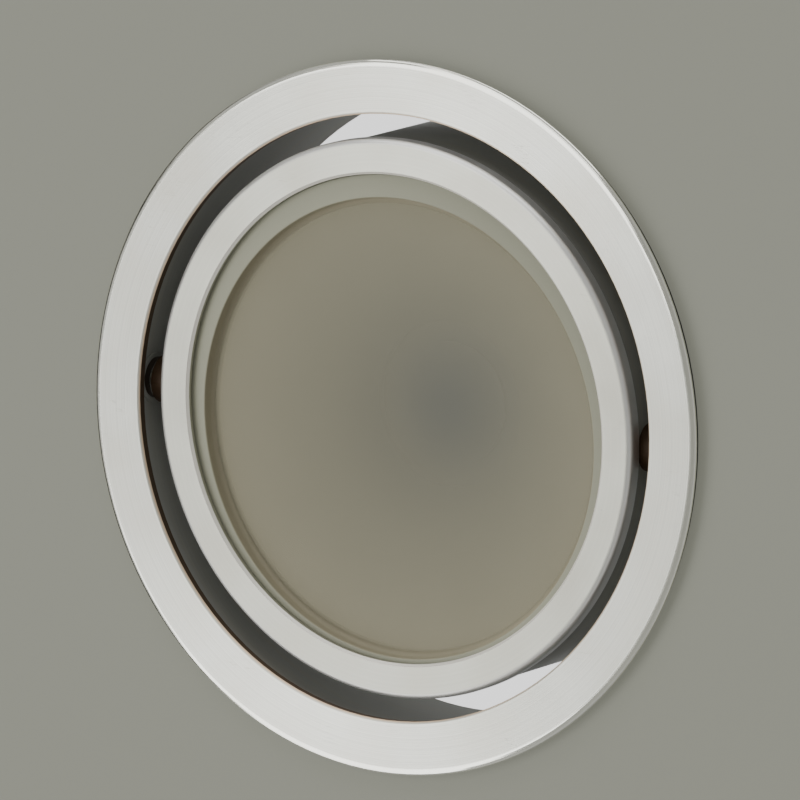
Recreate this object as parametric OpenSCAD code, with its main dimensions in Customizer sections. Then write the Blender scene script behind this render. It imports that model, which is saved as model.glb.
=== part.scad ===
// Recessed soffit downlight with a tilting head, millimetres, +Z up into the soffit.
// The origin is on the fixture's axis in the soffit plane, and light leaves toward -Z.
// The head tilts about the X axis line through its two pivots.

/* [Main size] */
// Outer diameter of the tilting head's can, which every other diameter follows
can_d = 85.6; // [70:0.1:110]

/* [Trim ring] */
// Radial width of the visible ring
trim_w = 8.35; // [7.8:0.05:16]
// How far the ring's opening stands inside the collar's inner wall
trim_lap = 2.05; // [1.2:0.05:2.8]
// Thickness of the ring
flange_t = 1.5; // [1.3:0.1:3]
// Radial width of the rolled outer edge
trim_edge_w = 1.7; // [0.4:0.1:2.4]
// How far the rolled edge falls back from the face
trim_edge_h = 0.55; // [0.2:0.05:0.8]
// Thickness left at the very edge of the ring
trim_lip_t = 0.15; // [0.1:0.05:0.3]
// Chamfer at the edge of the opening
trim_chamfer = 0.35; // [0.1:0.05:0.8]
// Thickness of the foam seal behind the ring
gasket_t = 0.8; // [0.6:0.1:2]
// How far the foam seal stays inside the ring's outer edge
gasket_inset = 0.8; // [0.4:0.1:1]

/* [Collar] */
// Radial gap between the can and the collar, in which the head swings
swing_gap = 5.9; // [5.6:0.05:6.4]
// Wall of the collar
collar_wall = 1.1; // [0.8:0.1:1.3]
// Depth of the collar above the soffit plane
collar_h = 25.2; // [24:0.1:27]
// Radial width of the collar's turned-out foot
foot_w = 2.4; // [2:0.1:2.6]
// Number of studs that hold the foot to the trim ring
stud_count = 6; // [3:1:12]
// Diameter of each stud
stud_d = 1.2; // [0.8:0.1:1.3]

/* [Tilt pivot] */
// Tilt of the head as photographed, in degrees
head_tilt = 2.5; // [-8:0.5:8]
// Depth of the pivot axis behind the trim ring's face
pivot_depth = 7; // [6:0.1:8]
// Diameter of the screws' bearing journal
journal_d = 4; // [3:0.1:5]
// Diameter of the screws' threaded body
pivot_body_d = 6.4; // [5.8:0.1:7]
// Outer diameter of the bush in the can wall
bush_d = 6; // [5.5:0.1:6.4]
// Diameter of the bush's outer shoulder
bush_shoulder_d = 7.6; // [7:0.1:8.4]
// Length of the bush's outer shoulder
bush_shoulder_l = 3.8; // [3:0.1:4]
// Thickness of the wave washer's space
washer_space = 0.5; // [0.4:0.05:0.8]
// Height of the drawn rim round each screw on the collar's inner wall
rim_h = 0.5; // [0.2:0.1:0.8]

/* [Head ring and can] */
// How far the head ring stands out past the can
head_lap = 0.5; // [0.1:0.05:0.8]
// Radial width of the head ring
head_w = 5.45; // [4.8:0.05:6]
// Thickness of the head ring
head_t = 2.4; // [2:0.1:3]
// Thickness of the ring's lip in front of the diffuser
lip_t = 1; // [0.8:0.1:1.2]
// Chamfer of the lip
lip_chamfer = 0.4; // [0.1:0.05:0.6]
// Radius of the head ring's outer edge
head_round = 1; // [0.2:0.1:1.2]
// How far the head ring lies behind the trim ring's face
head_set_back = 0.5; // [0:0.1:1.5]
// Wall of the can
can_wall = 1.6; // [1.4:0.1:2]
// Length of the can behind the head ring
can_l = 26.4; // [24:0.2:27]
// Thickness of the can's rear shoulder
can_floor = 1.6; // [1.2:0.1:2.4]
// Radial width of the can's rear shoulder
shoulder_w = 11.8; // [9:0.1:13]

/* [Diffuser and optics] */
// Radial play of the diffuser in the can
diffuser_play = 1.7; // [1.65:0.05:2]
// Radial width of the diffuser's raised rim
diffuser_rim_w = 3.9; // [3.4:0.1:4.4]
// Depth of the diffuser's rim behind the head ring's face
rim_depth = 1.45; // [1.3:0.05:1.7]
// Depth of the diffuser's flat middle behind the head ring's face
plateau_depth = 3; // [2.6:0.05:3.1]
// Thickness of the diffuser
diffuser_t = 1.2; // [0.8:0.1:1.4]
// How far the loose diffuser has settled toward +Y
diffuser_sag = 1.6; // [0:0.1:1.65]
// Thickness of the silicone ring behind the diffuser
seal_t = 1; // [0.6:0.1:1.2]
// Thickness of the reflector's wall
reflector_t = 0.9; // [0.8:0.1:1]
// Radial distance from the emitter's dome to the reflector's small end
throat_gap = 4.5; // [3:0.1:6]
// Depth of the emitter's face behind the head ring's face
emitter_depth = 16.2; // [15:0.1:17]
// Diameter of the emitter's dome
emitter_d = 17; // [14:0.5:19]
// Thickness of the emitter
emitter_t = 1.2; // [0.8:0.1:1.6]
// Radial width of the board round the reflector's small end
board_w = 9; // [8.5:0.1:10]
// Thickness of the board
board_t = 1.6; // [1:0.1:2]
// Thickness of the thermal pad
pad_t = 0.5; // [0.3:0.1:1]

/* [Heat sink] */
// How far the heat sink's edge lies inside the can's outer wall
sink_inset = 4.3; // [3.8:0.1:6.8]
// Thickness of the heat sink's base
sink_base_t = 3; // [2.4:0.1:4]
// Height of the fins above the base
fin_h = 20; // [14:0.5:26]
// Number of fins
fin_count = 24; // [12:3:30]
// Thickness of each fin
fin_t = 1.4; // [1:0.1:1.6]
// Radial width of the hub round the wire duct
hub_w = 8; // [7.5:0.1:9]
// Diameter of the wire duct in the hub
duct_d = 8; // [5:0.5:9]
// Diameter of the three screws into the can
sink_screw_d = 3; // [2.5:0.1:3.2]

/* [Driver case] */
// How far the driver case's wall lies inside the heat sink's edge
case_inset = 9.5; // [7.5:0.1:11.5]
// Height of the driver case
case_h = 17; // [15:0.5:22]
// Wall of the driver case
case_wall = 1.8; // [1.4:0.1:2.4]
// Radius of the case's upper edge
case_round = 4; // [2.5:0.5:5]
// Thickness of the case's floor plate
lid_t = 2; // [1.5:0.1:3]
// Bore of the cable gland's seal
cable_bore_d = 7; // [6:0.1:8]
// Wall of the seal
gland_seal_w = 1.3; // [1:0.1:2]
// Wall of the gland's neck
gland_wall = 1.2; // [0.9:0.1:2]
// How far the flats of the gland's hexagons stand out past its neck
gland_flat_w = 2.5; // [2:0.1:4]

/* [Soffit clips] */
// Height of the clip pins above the collar's rear edge
clip_rise = 5.8; // [5.6:0.1:6.4]
// How far the clip pins lie inside the collar's inner wall
clip_inset = 2.9; // [2.7:0.1:3]
// Diameter of the clip pins
clip_pin_d = 2.5; // [2:0.1:2.6]
// Width of each clip bracket
bracket_w = 18.4; // [17:0.2:20]
// Thickness of the stamped brackets
bracket_t = 1; // [0.8:0.1:1.2]
// Length of each lever from its pin
lever_l = 38; // [34:0.5:44]
// Angle of the free levers below the horizontal
lever_droop = 35; // [34:0.5:36]
// Thickness of the stamped levers
lever_t = 1.1; // [0.9:0.1:1.1]
// Wire diameter of the torsion springs
wire_d = 1; // [0.8:0.05:1.1]
// Full turns of each torsion spring
spring_turns = 4; // [3:1:5]
// Free gap between two turns
spring_gap = 0.5; // [0.45:0.05:0.6]

/* [Hidden] */
$fn = 96;

// Clearances
running_gap = 0.03;  // radial, pin in bore
slip_gap = 0.1;      // radial, screw or stud in its hole
side_gap = 0.3;      // between neighbours that move past each other
eps = 0.01;          // cutters run this far past the faces they cut

// Levels and radii of the fixed part
can_r = can_d / 2;
collar_r = can_r + swing_gap;
collar_out_r = collar_r + collar_wall;
trim_bore_r = collar_r - trim_lap;
trim_r = trim_bore_r + trim_w;
flange_back = -gasket_t;
flange_front = flange_back - flange_t;
foot_r = collar_out_r + foot_w;
foot_t = gasket_t;
stud_ring_r = (collar_out_r + foot_r) / 2;
gasket_in_r = foot_r + slip_gap;
gasket_out_r = trim_r - gasket_inset;
pivot_z = flange_front + pivot_depth;

// Levels and radii of the head, before it is tilted
head_front = flange_front + head_set_back;
head_back = head_front + head_t;
lip_back = head_front + lip_t;
head_r = can_r + head_lap;
head_bore_r = head_r - head_w;
can_in_r = can_r - can_wall;
can_top = head_back + can_l;
can_rear_r = can_r - shoulder_w;
tongue_t = 0.6;
tongue_h = 0.8;
tongue_r = can_in_r + (can_wall - tongue_t) / 2;

// Pivot stack along X, from the can wall outward
bush_in_x = can_in_r;
washer_x = can_r + bush_shoulder_l;
screw_step_x = washer_x + washer_space;
journal_end_x = can_in_r + 0.3;
screw_slot_w = 0.8;
screw_slot_depth = 0.9;
screw_flush = 0.25;
washer_t = 0.3;
washer_wave = 0.1;

// Optics stack
rim_front = head_front + rim_depth;
rim_back = rim_front + diffuser_t;
plateau_front = head_front + plateau_depth;
plateau_back = plateau_front + diffuser_t;
diffuser_r = can_in_r - diffuser_play;
step_r = diffuser_r - diffuser_rim_w;
groove_w = 1;
rim_cove_w = 1.6;
seal_back = rim_back + seal_t;
step_back_r = step_r + 0.2;
seal_in_r = step_back_r + diffuser_sag + 0.2;
reflector_out_r = can_in_r - 0.4;
reflector_mouth_r = seal_in_r;
reflector_throat_r = emitter_d / 2 + throat_gap;
emitter_front = head_front + emitter_depth;
emitter_back = emitter_front + emitter_t;
board_back = emitter_back + board_t;
pad_back = board_back + pad_t;
holder_t = 1.4;
holder_in_r = reflector_throat_r;
board_r = reflector_throat_r + board_w;
holder_out_r = board_r - 0.3;
holder_front = emitter_back - holder_t;
led_screw_ring_r = holder_out_r - 2.2;
led_screw_d = 2;
led_screw_l = 5;
wire_slot_w = 5;
wire_slot_depth = 3;

// Heat sink stack
sink_bottom = can_top;
sink_base_top = sink_bottom + sink_base_t;
fin_top = sink_base_top + fin_h;
sink_r = can_r - sink_inset;
hub_r = duct_d / 2 + hub_w;
pedestal_r = board_r + 0.4;
fin_slope = 5;
duct_floor = sink_bottom - 4;
sink_screw_inset = 3.4;
sink_screw_ring_r = sink_r - sink_screw_inset;
sink_screw_head_r = sink_screw_d * 0.9;
sink_screw_head_h = sink_screw_d * 0.6;

// Driver case stack
lid_bottom = fin_top;
lid_top = lid_bottom + lid_t;
case_top = lid_bottom + case_h;
case_r = sink_r - case_inset;
case_in_r = case_r - case_wall;
case_screw_d = 3;
case_screw_inset = 3.4;
case_screw_ring_r = hub_r - case_screw_inset;
case_screw_l = 9;
case_screw_head_r = 2.6;
case_screw_head_h = 1.8;
driver_board_t = 1.6;
post_r = 3.2;
post_h = 2.4;
driver_board_r = case_in_r - 1.5;

// Gland stack
gland_flange_t = 3;
gland_collar_t = 2;
gland_neck_h = 9;
gland_nut_h = 10;
gland_bore_r = cable_bore_d / 2 + gland_seal_w;
gland_r = gland_bore_r + gland_wall;
gland_flat_r = gland_r + gland_flat_w;
gland_top = case_top + gland_flange_t + gland_neck_h;
seal_len = 8;

// Clips
clip_pin_h = collar_h + clip_rise;
clip_pin_x = collar_r - clip_inset;
pin_r = clip_pin_d / 2;
ear_r = 2.4;
ear_in_y = bracket_w / 2 - bracket_t;
pin_head_r = pin_r + 0.7;
pin_head_t = 0.6;
cheek_y = ear_in_y - side_gap;
wire_r = wire_d / 2;
coil_r = pin_r + 0.35 + wire_r;
coil_pitch = wire_d + spring_gap;
lever_flat = coil_r - wire_r - lever_t - 0.02;
lever_start = coil_r + wire_r + 1.4;
cheek_l = 15;
cheek_below = 2.6;
cheek_flat_l = 1;    // the cheeks keep their full depth this far past the top's start
pad_l = 10;
pad_below = 1.6;
rivet_r = 1.2;
rivet_head_r = 2.2;
rivet_head_t = 0.8;
rivet_reach = 4;     // the rivets are drawn from this far inside the collar's wall
rivet_z = collar_h - 8.2;
rivet_spread = 5.5;
bracket_bottom = collar_h - 12.2;
bracket_back_top = collar_h - 0.7;

// Puts its children at the head's tilt
module tilted() {
    translate([0, 0, pivot_z])
        rotate([head_tilt, 0, 0])
        translate([0, 0, -pivot_z])
        children();
}

// The same child at +X and, turned half round, at -X
module both_sides() {
    for (turn = [0, 180])
        rotate([0, 0, turn])
            children();
}

// A ring with a rectangular section
module ring(r_in, r_out, z0, z1) {
    translate([0, 0, z0])
        difference() {
            cylinder(r = r_out, h = z1 - z0);
            translate([0, 0, -eps])
                cylinder(r = r_in, h = z1 - z0 + 2 * eps);
        }
}

// A cylinder along +X from x0 to x1, at the pivots' height
module pivot_rod(r, x0, x1) {
    translate([x0, 0, pivot_z])
        rotate([0, 90, 0])
        cylinder(r = r, h = x1 - x0, $fn = 48);
}

// A screw along Z: shank going up from z0, head below it
module screw_up(shank_d, shank_l, z0, head_r, head_h) {
    translate([0, 0, z0])
        cylinder(d = shank_d, h = shank_l, $fn = 24);
    difference() {
        translate([0, 0, z0 - head_h])
            cylinder(r = head_r, h = head_h, $fn = 32);
        translate([0, 0, z0 - head_h - eps])
            cylinder(r = head_r * 0.5, h = head_h * 0.6, $fn = 6);
    }
}

// A screw along Z: shank going down from z0, head above it
module screw_down(shank_d, shank_l, z0, head_r, head_h) {
    translate([0, 0, z0])
        mirror([0, 0, 1])
        screw_up(shank_d, shank_l, 0, head_r, head_h);
}

module trim_ring() {
    edge_steps = 8;
    // Rolled edge, an arc from the face to the lip
    rolled_edge = [
        for (i = [0 : edge_steps])
            let (a = 90 * i / edge_steps)
                [
                    trim_r - trim_edge_w + trim_edge_w * sin(a),
                    flange_front + trim_edge_h * (1 - cos(a))
                ]
    ];
    lip_back_z = flange_front + trim_edge_h + trim_lip_t;
    color("silver") {
        rotate_extrude($fn = 180)
            polygon(concat(
                [
                    [trim_bore_r, flange_back],
                    [trim_bore_r, flange_front + trim_chamfer],
                    [trim_bore_r + trim_chamfer, flange_front]
                ],
                rolled_edge,
                // Relief behind the lip, down to the foam seal
                [
                    [trim_r, lip_back_z],
                    [min(gasket_out_r, trim_r - 0.1), flange_back]
                ]
            ));
        // Studs, peened flush with the collar's foot
        for (i = [0 : stud_count - 1])
            rotate([0, 0, (i + 0.5) * 360 / stud_count])
                translate([stud_ring_r, 0, flange_back])
                cylinder(d = stud_d, h = foot_t, $fn = 24);
    }
}

module collar() {
    color([0.22, 0.22, 0.21]) {
        difference() {
            union() {
                ring(collar_r, collar_out_r, flange_back, collar_h);
                ring(collar_r, foot_r, flange_back, flange_back + foot_t);
                // Drawn rims round the pivot screws
                both_sides()
                    intersection() {
                        pivot_rod(pivot_body_d / 2 + 0.7, collar_r - rim_h, collar_out_r - 0.3);
                        ring(collar_r - rim_h, collar_out_r - 0.3, flange_back, collar_h);
                    }
            }
            both_sides()
                pivot_rod(pivot_body_d / 2, collar_r - 5, collar_out_r + 1);
            rivet_places()
                cylinder(r = rivet_r + slip_gap / 2, h = 10, $fn = 32);
            for (i = [0 : stud_count - 1])
                rotate([0, 0, (i + 0.5) * 360 / stud_count])
                    translate([stud_ring_r, 0, flange_back - eps])
                    cylinder(d = stud_d + 2 * slip_gap, h = foot_t + 2 * eps, $fn = 24);
        }
    }
}

module flange_gasket() {
    color([0.12, 0.12, 0.12])
        ring(gasket_in_r, gasket_out_r, flange_back, 0);
}

// Stepped screws: threaded body flush in the collar, journal in the bush
module pivot_screws() {
    color([0.3, 0.24, 0.19])
        both_sides()
            difference() {
                union() {
                    pivot_rod(pivot_body_d / 2, screw_step_x, collar_out_r - screw_flush);
                    pivot_rod(journal_d / 2, journal_end_x, screw_step_x + eps);
                }
                translate([collar_out_r - screw_flush - screw_slot_depth, -pivot_body_d, pivot_z - screw_slot_w / 2])
                    cube([screw_slot_depth + 1, 2 * pivot_body_d, screw_slot_w]);
            }
}

// Three-wave spring washers between bush and screw shoulder
module wave_washers() {
    color("lightgray")
        both_sides()
            translate([washer_x + (washer_space - washer_t) / 2, 0, pivot_z])
            rotate([0, 90, 0])
            wave_ring(journal_d / 2 + slip_gap, pivot_body_d / 2 + 0.3);
}

// One washer, its waves reaching both neighbours
module wave_ring(r_in, r_out) {
    steps = 36;
    wave = (washer_space - washer_t) / 2 - eps;
    rings = [[r_in, 0], [r_out, 0], [r_out, washer_t], [r_in, washer_t]];
    points = [
        for (i = [0 : steps - 1])
            let (a = 360 * i / steps)
                for (p = rings)
                    [p[0] * cos(a), p[0] * sin(a), p[1] + wave * cos(3 * a)]
    ];
    faces = [
        for (i = [0 : steps - 1])
            let (j = (i + 1) % steps)
                for (k = [0 : 3])
                    let (m = (k + 1) % 4, a = 4 * i + k, b = 4 * i + m, c = 4 * j + m, d = 4 * j + k)
                        for (tri = [[a, c, b], [a, d, c]])
                            tri
    ];
    polyhedron(points = points, faces = faces);
}

// Puts its children, drawn along +Z from the axis outward, at the four rivets
module rivet_places() {
    both_sides()
        for (side = [-1, 1])
            rotate([0, 0, side * rivet_spread])
                translate([collar_r - rivet_reach, 0, rivet_z])
                rotate([0, 90, 0])
                children();
}

module bracket_rivets() {
    back_in_r = collar_r - slip_gap - bracket_t;
    // A flat head on a curved face touches at its sides first
    head_lift = rivet_head_r * rivet_head_r / (2 * back_in_r) + eps;
    shank_start = rivet_reach - bracket_t - slip_gap;
    color("darkgray")
        rivet_places() {
            translate([0, 0, shank_start - head_lift - eps])
                cylinder(r = rivet_r, h = rivet_reach + collar_wall - 0.05 - shank_start + head_lift + eps, $fn = 32);
            translate([0, 0, shank_start - head_lift - rivet_head_t])
                cylinder(r1 = rivet_head_r * 0.7, r2 = rivet_head_r, h = rivet_head_t, $fn = 32);
        }
}

// Stamped bracket: curved back riveted inside the collar, two ears for the pin
module clip_bracket() {
    back_r = collar_r - slip_gap;
    color([0.62, 0.63, 0.64])
        difference() {
            union() {
                intersection() {
                    ring(back_r - bracket_t, back_r, bracket_bottom, bracket_back_top);
                    translate([0, -bracket_w / 2, 0])
                        cube([collar_r, bracket_w, collar_h]);
                }
                for (side = [-1, 1])
                    difference() {
                        translate([0, side * (bracket_w / 2 - bracket_t / 2) + bracket_t / 2, 0])
                            rotate([90, 0, 0])
                            linear_extrude(bracket_t)
                            ear_outline();
                        // The ear stays off the collar's wall
                        ring(back_r, collar_out_r + 5, 0, collar_h + side_gap);
                    }
            }
            clip_axis_rod(pin_r, bracket_w);
            rivet_places()
                cylinder(r = rivet_r + slip_gap / 2, h = 10, $fn = 32);
        }
}

// Side view of an ear, in X and Z
module ear_outline() {
    ear_x = clip_pin_x - ear_r;
    union() {
        translate([clip_pin_x, clip_pin_h])
            circle(r = ear_r, $fn = 48);
        polygon([
            [ear_x, clip_pin_h],
            [ear_x, collar_h - 2],
            [ear_x + 2.6, bracket_bottom],
            [collar_r + 1, bracket_bottom],
            [clip_pin_x + ear_r, collar_h],
            [clip_pin_x + ear_r, clip_pin_h]
        ]);
    }
}

// A rod along the clip's hinge axis, centred in Y
module clip_axis_rod(r, length) {
    translate([clip_pin_x, length / 2 + eps, clip_pin_h])
        rotate([90, 0, 0])
        cylinder(r = r, h = length + 2 * eps, $fn = 48);
}

module clip_bracket_a() {
    clip_bracket();
}

module clip_bracket_b() {
    rotate([0, 0, 180])
        clip_bracket();
}

module clip_pins() {
    color("silver")
        both_sides() {
            clip_axis_rod(pin_r, bracket_w);
            for (side = [-1, 1])
                translate([clip_pin_x, side * (bracket_w / 2 + pin_head_t / 2), clip_pin_h])
                    rotate([90, 0, 0])
                    cylinder(r = pin_head_r, h = pin_head_t, center = true, $fn = 32);
        }
}

// Draws its children, made along +X from the pin, at the lever's free angle
module at_lever() {
    translate([clip_pin_x, 0, clip_pin_h])
        rotate([0, lever_droop, 0])
        children();
}

// Stamped channel: two cheeks on the pin, a flat top with a turned-down tip
module clip_lever() {
    color([0.66, 0.67, 0.68])
        at_lever()
            difference() {
                union() {
                    translate([lever_start, -cheek_y, lever_flat])
                        cube([lever_l - lever_start, 2 * cheek_y, lever_t]);
                    for (side = [-1, 1])
                        translate([0, side * (cheek_y - lever_t / 2) + lever_t / 2, 0])
                            rotate([90, 0, 0])
                            linear_extrude(lever_t)
                            cheek_outline();
                    // Turned-down tip
                    translate([lever_l - lever_t, -cheek_y, lever_flat - pad_below])
                        cube([lever_t, 2 * cheek_y, pad_below + eps]);
                }
                rotate([90, 0, 0])
                    translate([0, 0, -bracket_w])
                    cylinder(r = pin_r + running_gap, h = 2 * bracket_w, $fn = 48);
                // Rounded corners of the tip
                for (side = [-1, 1])
                    translate([lever_l - 3, side * (cheek_y - 3), -5])
                        difference() {
                            translate([0, side > 0 ? 0 : -4, 0])
                                cube([4, 4, 10]);
                            cylinder(r = 3, h = 10, $fn = 48);
                        }
            }
}

// Side view of a cheek, along the lever and across it
module cheek_outline() {
    polygon([
        [0, -cheek_below],
        [lever_start + cheek_flat_l, -cheek_below],
        [cheek_l, lever_flat],
        [cheek_l, lever_flat + lever_t],
        [0, lever_flat + lever_t]
    ]);
    circle(r = cheek_below, $fn = 48);
}

module clip_lever_a() {
    clip_lever();
}

module clip_lever_b() {
    rotate([0, 0, 180])
        clip_lever();
}

// Ribbed rubber pad under the tip of the lever
module clip_pad() {
    pad_w = 2 * cheek_y - 5;
    rib_pitch = 2.4;
    color([0.15, 0.15, 0.15])
        at_lever()
            difference() {
                translate([lever_l - lever_t - pad_l, -pad_w / 2, -pad_below])
                    cube([pad_l - eps, pad_w, pad_below + lever_flat]);
                for (i = [1 : 3])
                    translate([lever_l - lever_t - pad_l + i * rib_pitch, 0, -pad_below - eps])
                        cube([0.8, pad_w + 1, 1.4], center = true);
            }
}

module clip_pad_a() {
    clip_pad();
}

module clip_pad_b() {
    rotate([0, 0, 180])
        clip_pad();
}

// Torsion spring: one wound wire, a leg on the bracket's back and a leg on the lever.
// Angles run from X toward Z round the pin; the coil turns from the first to the last.
leg_bracket = 11;
leg_lever = 12;
rings_per_turn = 8;
first_angle = 196;
last_angle = 90 - lever_droop;
coil_sweep = 360 * spring_turns + first_angle - last_angle;
coil_w = coil_pitch * coil_sweep / 360;
coil_rings = ceil(rings_per_turn * coil_sweep / 360);

// Centre line of the wire, in the pin's frame: X out, Y along the pin, Z up
function coil_point(t) =
    let (a = first_angle - t * coil_sweep)
        [coil_r * cos(a), coil_w * (t - 0.5), coil_r * sin(a)];
coil_points = [for (i = [0 : coil_rings]) coil_point(i / coil_rings)];
leg_first_dir = [-sin(first_angle), 0, cos(first_angle)];
leg_last_dir = [sin(last_angle), 0, -cos(last_angle)];
wire_path = concat(
    [coil_points[0] + leg_first_dir * leg_bracket, coil_points[0] + leg_first_dir * wire_d],
    coil_points,
    [
        coil_points[coil_rings] + leg_last_dir * wire_d,
        coil_points[coil_rings] + leg_last_dir * leg_lever
    ]
);

// Least gap of the coil to itself, between points over half a turn apart
self_gap = min([
    for (i = [0 : coil_rings], j = [0 : coil_rings])
        if (j - i > rings_per_turn / 2) norm(coil_points[i] - coil_points[j])
]) - wire_d;
echo(least_spring_gap_mm = self_gap);

function unit(v) = v / norm(v);

// A round wire swept along a path, its rings square to the way it runs
module swept_wire(path, r, sides) {
    count = len(path);
    ref = [0, 1, 0];
    points = [
        for (i = [0 : count - 1])
            let (
                before = path[max(i - 1, 0)],
                after = path[min(i + 1, count - 1)],
                dir = unit(after - before),
                u = unit(cross(dir, ref)),
                v = cross(dir, u)
            )
                for (k = [0 : sides - 1])
                    path[i] + r * (cos(360 * k / sides) * u + sin(360 * k / sides) * v)
    ];
    walls = [
        for (i = [0 : count - 2], k = [0 : sides - 1])
            let (m = (k + 1) % sides, a = i * sides + k, b = i * sides + m)
                for (tri = [[a, b, b + sides], [a, b + sides, a + sides]])
                    tri
    ];
    first_cap = [for (k = [1 : sides - 2]) [0, k + 1, k]];
    last = (count - 1) * sides;
    last_cap = [for (k = [1 : sides - 2]) [last, last + k, last + k + 1]];
    polyhedron(points = points, faces = concat(walls, first_cap, last_cap));
}

module clip_spring() {
    color([0.5, 0.5, 0.52])
        translate([clip_pin_x, 0, clip_pin_h])
        swept_wire(wire_path, wire_r, 6);
}

module clip_spring_a() {
    clip_spring();
}

module clip_spring_b() {
    rotate([0, 0, 180])
        clip_spring();
}

module head_ring() {
    color([0.78, 0.78, 0.76])
        tilted()
        rotate_extrude($fn = 180)
        difference() {
            union() {
                difference() {
                    translate([head_bore_r, head_front])
                        square([head_r - head_bore_r, head_t]);
                    // Seat of the diffuser
                    translate([0, lip_back])
                        square([can_in_r, head_t]);
                }
                // Tongue that presses into the can
                translate([tongue_r, head_back - eps])
                    square([tongue_t, tongue_h + eps]);
            }
            translate([head_bore_r, head_front])
                rotate(45)
                square(lip_chamfer * sqrt(2), center = true);
            difference() {
                translate([head_r - head_round, head_front - 1])
                    square([head_round + 1, head_round + 1]);
                translate([head_r - head_round, head_front + head_round])
                    circle(r = head_round, $fn = 48);
            }
        }
}

module head_can() {
    color([0.2, 0.2, 0.2])
        tilted()
        difference() {
            union() {
                ring(can_in_r, can_r, head_back, can_top);
                ring(can_rear_r, can_r, can_top - can_floor, can_top);
            }
            ring(tongue_r - slip_gap / 2, tongue_r + tongue_t + slip_gap / 2,
                head_back - 1, head_back + tongue_h + slip_gap);
            both_sides()
                pivot_rod(bush_d / 2, can_in_r - 2, can_r + 2);
            sink_screw_places()
                translate([0, 0, can_top - can_floor - 1])
                cylinder(d = sink_screw_d, h = can_floor + 2, $fn = 24);
        }
}

// Shouldered bushes: shank in the can wall, shoulder toward the collar
module pivot_bushes() {
    color([0.42, 0.3, 0.2])
        tilted()
        both_sides()
        difference() {
            union() {
                intersection() {
                    pivot_rod(bush_d / 2, bush_in_x - 1, can_r);
                    ring(bush_in_x, can_r + 1, pivot_z - bush_d, pivot_z + bush_d);
                }
                difference() {
                    pivot_rod(bush_shoulder_d / 2, can_r - 0.4, washer_x);
                    ring(0, can_r, pivot_z - bush_d, pivot_z + bush_d);
                }
            }
            pivot_rod(journal_d / 2 + running_gap, can_in_r - 2, washer_x + 1);
        }
}

// Frosted disc, shifted by its settling; the cove leads from rim to step
module diffuser() {
    groove_depth = 0.15;
    color([0.72, 0.7, 0.62])
        tilted()
        translate([0, diffuser_sag, 0])
        rotate_extrude($fn = 180)
        polygon(concat(
            [
                [0, plateau_front],
                [step_r - groove_w, plateau_front],
                [step_r - groove_w * 0.7, plateau_front + groove_depth],
                [step_r - groove_w * 0.2, plateau_front + groove_depth * 0.4]
            ],
            [
                for (i = [0 : 8])
                    let (t = i / 8)
                        [
                            step_r + rim_cove_w * t,
                            plateau_front + (rim_front - plateau_front) * (1 - cos(180 * t)) / 2
                        ]
            ],
            [
                [diffuser_r - 0.3, rim_front],
                [diffuser_r, rim_front + 0.3],
                [diffuser_r, rim_back],
                [step_back_r, rim_back],
                [step_back_r, plateau_back],
                [0, plateau_back]
            ]
        ));
}

module diffuser_gasket() {
    color([0.9, 0.9, 0.88])
        tilted()
        ring(seal_in_r, can_in_r - 0.3, rim_back, seal_back);
}

// White cone with a flange behind the gasket and a seat on the LED holder
module reflector() {
    throat_z = holder_front - 0.05;
    mouth_z = plateau_back + 0.3;
    color([0.95, 0.95, 0.93])
        tilted()
        rotate_extrude($fn = 120)
        polygon([
            [reflector_mouth_r, seal_back],
            [reflector_out_r, seal_back],
            [reflector_out_r, seal_back + reflector_t],
            [reflector_mouth_r + reflector_t, seal_back + reflector_t],
            [reflector_mouth_r + reflector_t, mouth_z],
            [reflector_throat_r + reflector_t, throat_z],
            [reflector_throat_r, throat_z],
            [reflector_mouth_r, mouth_z]
        ]);
}

// Domed emitter on its carrier
module led_emitter() {
    carrier_t = emitter_t * 0.4;
    dome_h = emitter_t - carrier_t;
    dome_r = emitter_d / 2;
    sphere_r = (dome_r * dome_r + dome_h * dome_h) / (2 * dome_h);
    half_angle = asin(dome_r / sphere_r);
    arc = [
        for (i = [0 : 8])
            let (a = half_angle * i / 8)
                [sphere_r * sin(a), emitter_front + sphere_r * (1 - cos(a))]
    ];
    color([0.62, 0.66, 0.72])
        tilted()
        rotate_extrude()
        polygon(concat(arc, [
            [dome_r + 1, emitter_front + dome_h],
            [dome_r + 1, emitter_back],
            [0, emitter_back]
        ]));
}

// Angles of the two screws that hold board and holder
module led_screw_places() {
    for (a = [45, 225])
        rotate([0, 0, a])
            translate([led_screw_ring_r, 0, 0])
            children();
}

module led_board() {
    color([0.9, 0.9, 0.92])
        tilted()
        difference() {
            translate([0, 0, emitter_back])
                cylinder(r = board_r, h = board_t);
            led_screw_places()
                translate([0, 0, emitter_back - 1])
                cylinder(d = led_screw_d + 2 * slip_gap, h = board_t + 2, $fn = 24);
            // Wire slot
            translate([-wire_slot_w / 2, board_r - wire_slot_depth, emitter_back - 1])
                cube([wire_slot_w, 2 * wire_slot_depth, board_t + 2]);
        }
}

module led_holder() {
    color([0.85, 0.85, 0.84])
        tilted()
        difference() {
            ring(holder_in_r, holder_out_r, holder_front, emitter_back);
            led_screw_places()
                translate([0, 0, holder_front - 1])
                cylinder(d = led_screw_d + 2 * slip_gap, h = holder_t + 2, $fn = 24);
        }
}

module led_screws() {
    color("silver")
        tilted()
        led_screw_places()
        screw_up(led_screw_d, led_screw_l, holder_front, led_screw_d * 0.85, 1.1);
}

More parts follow.
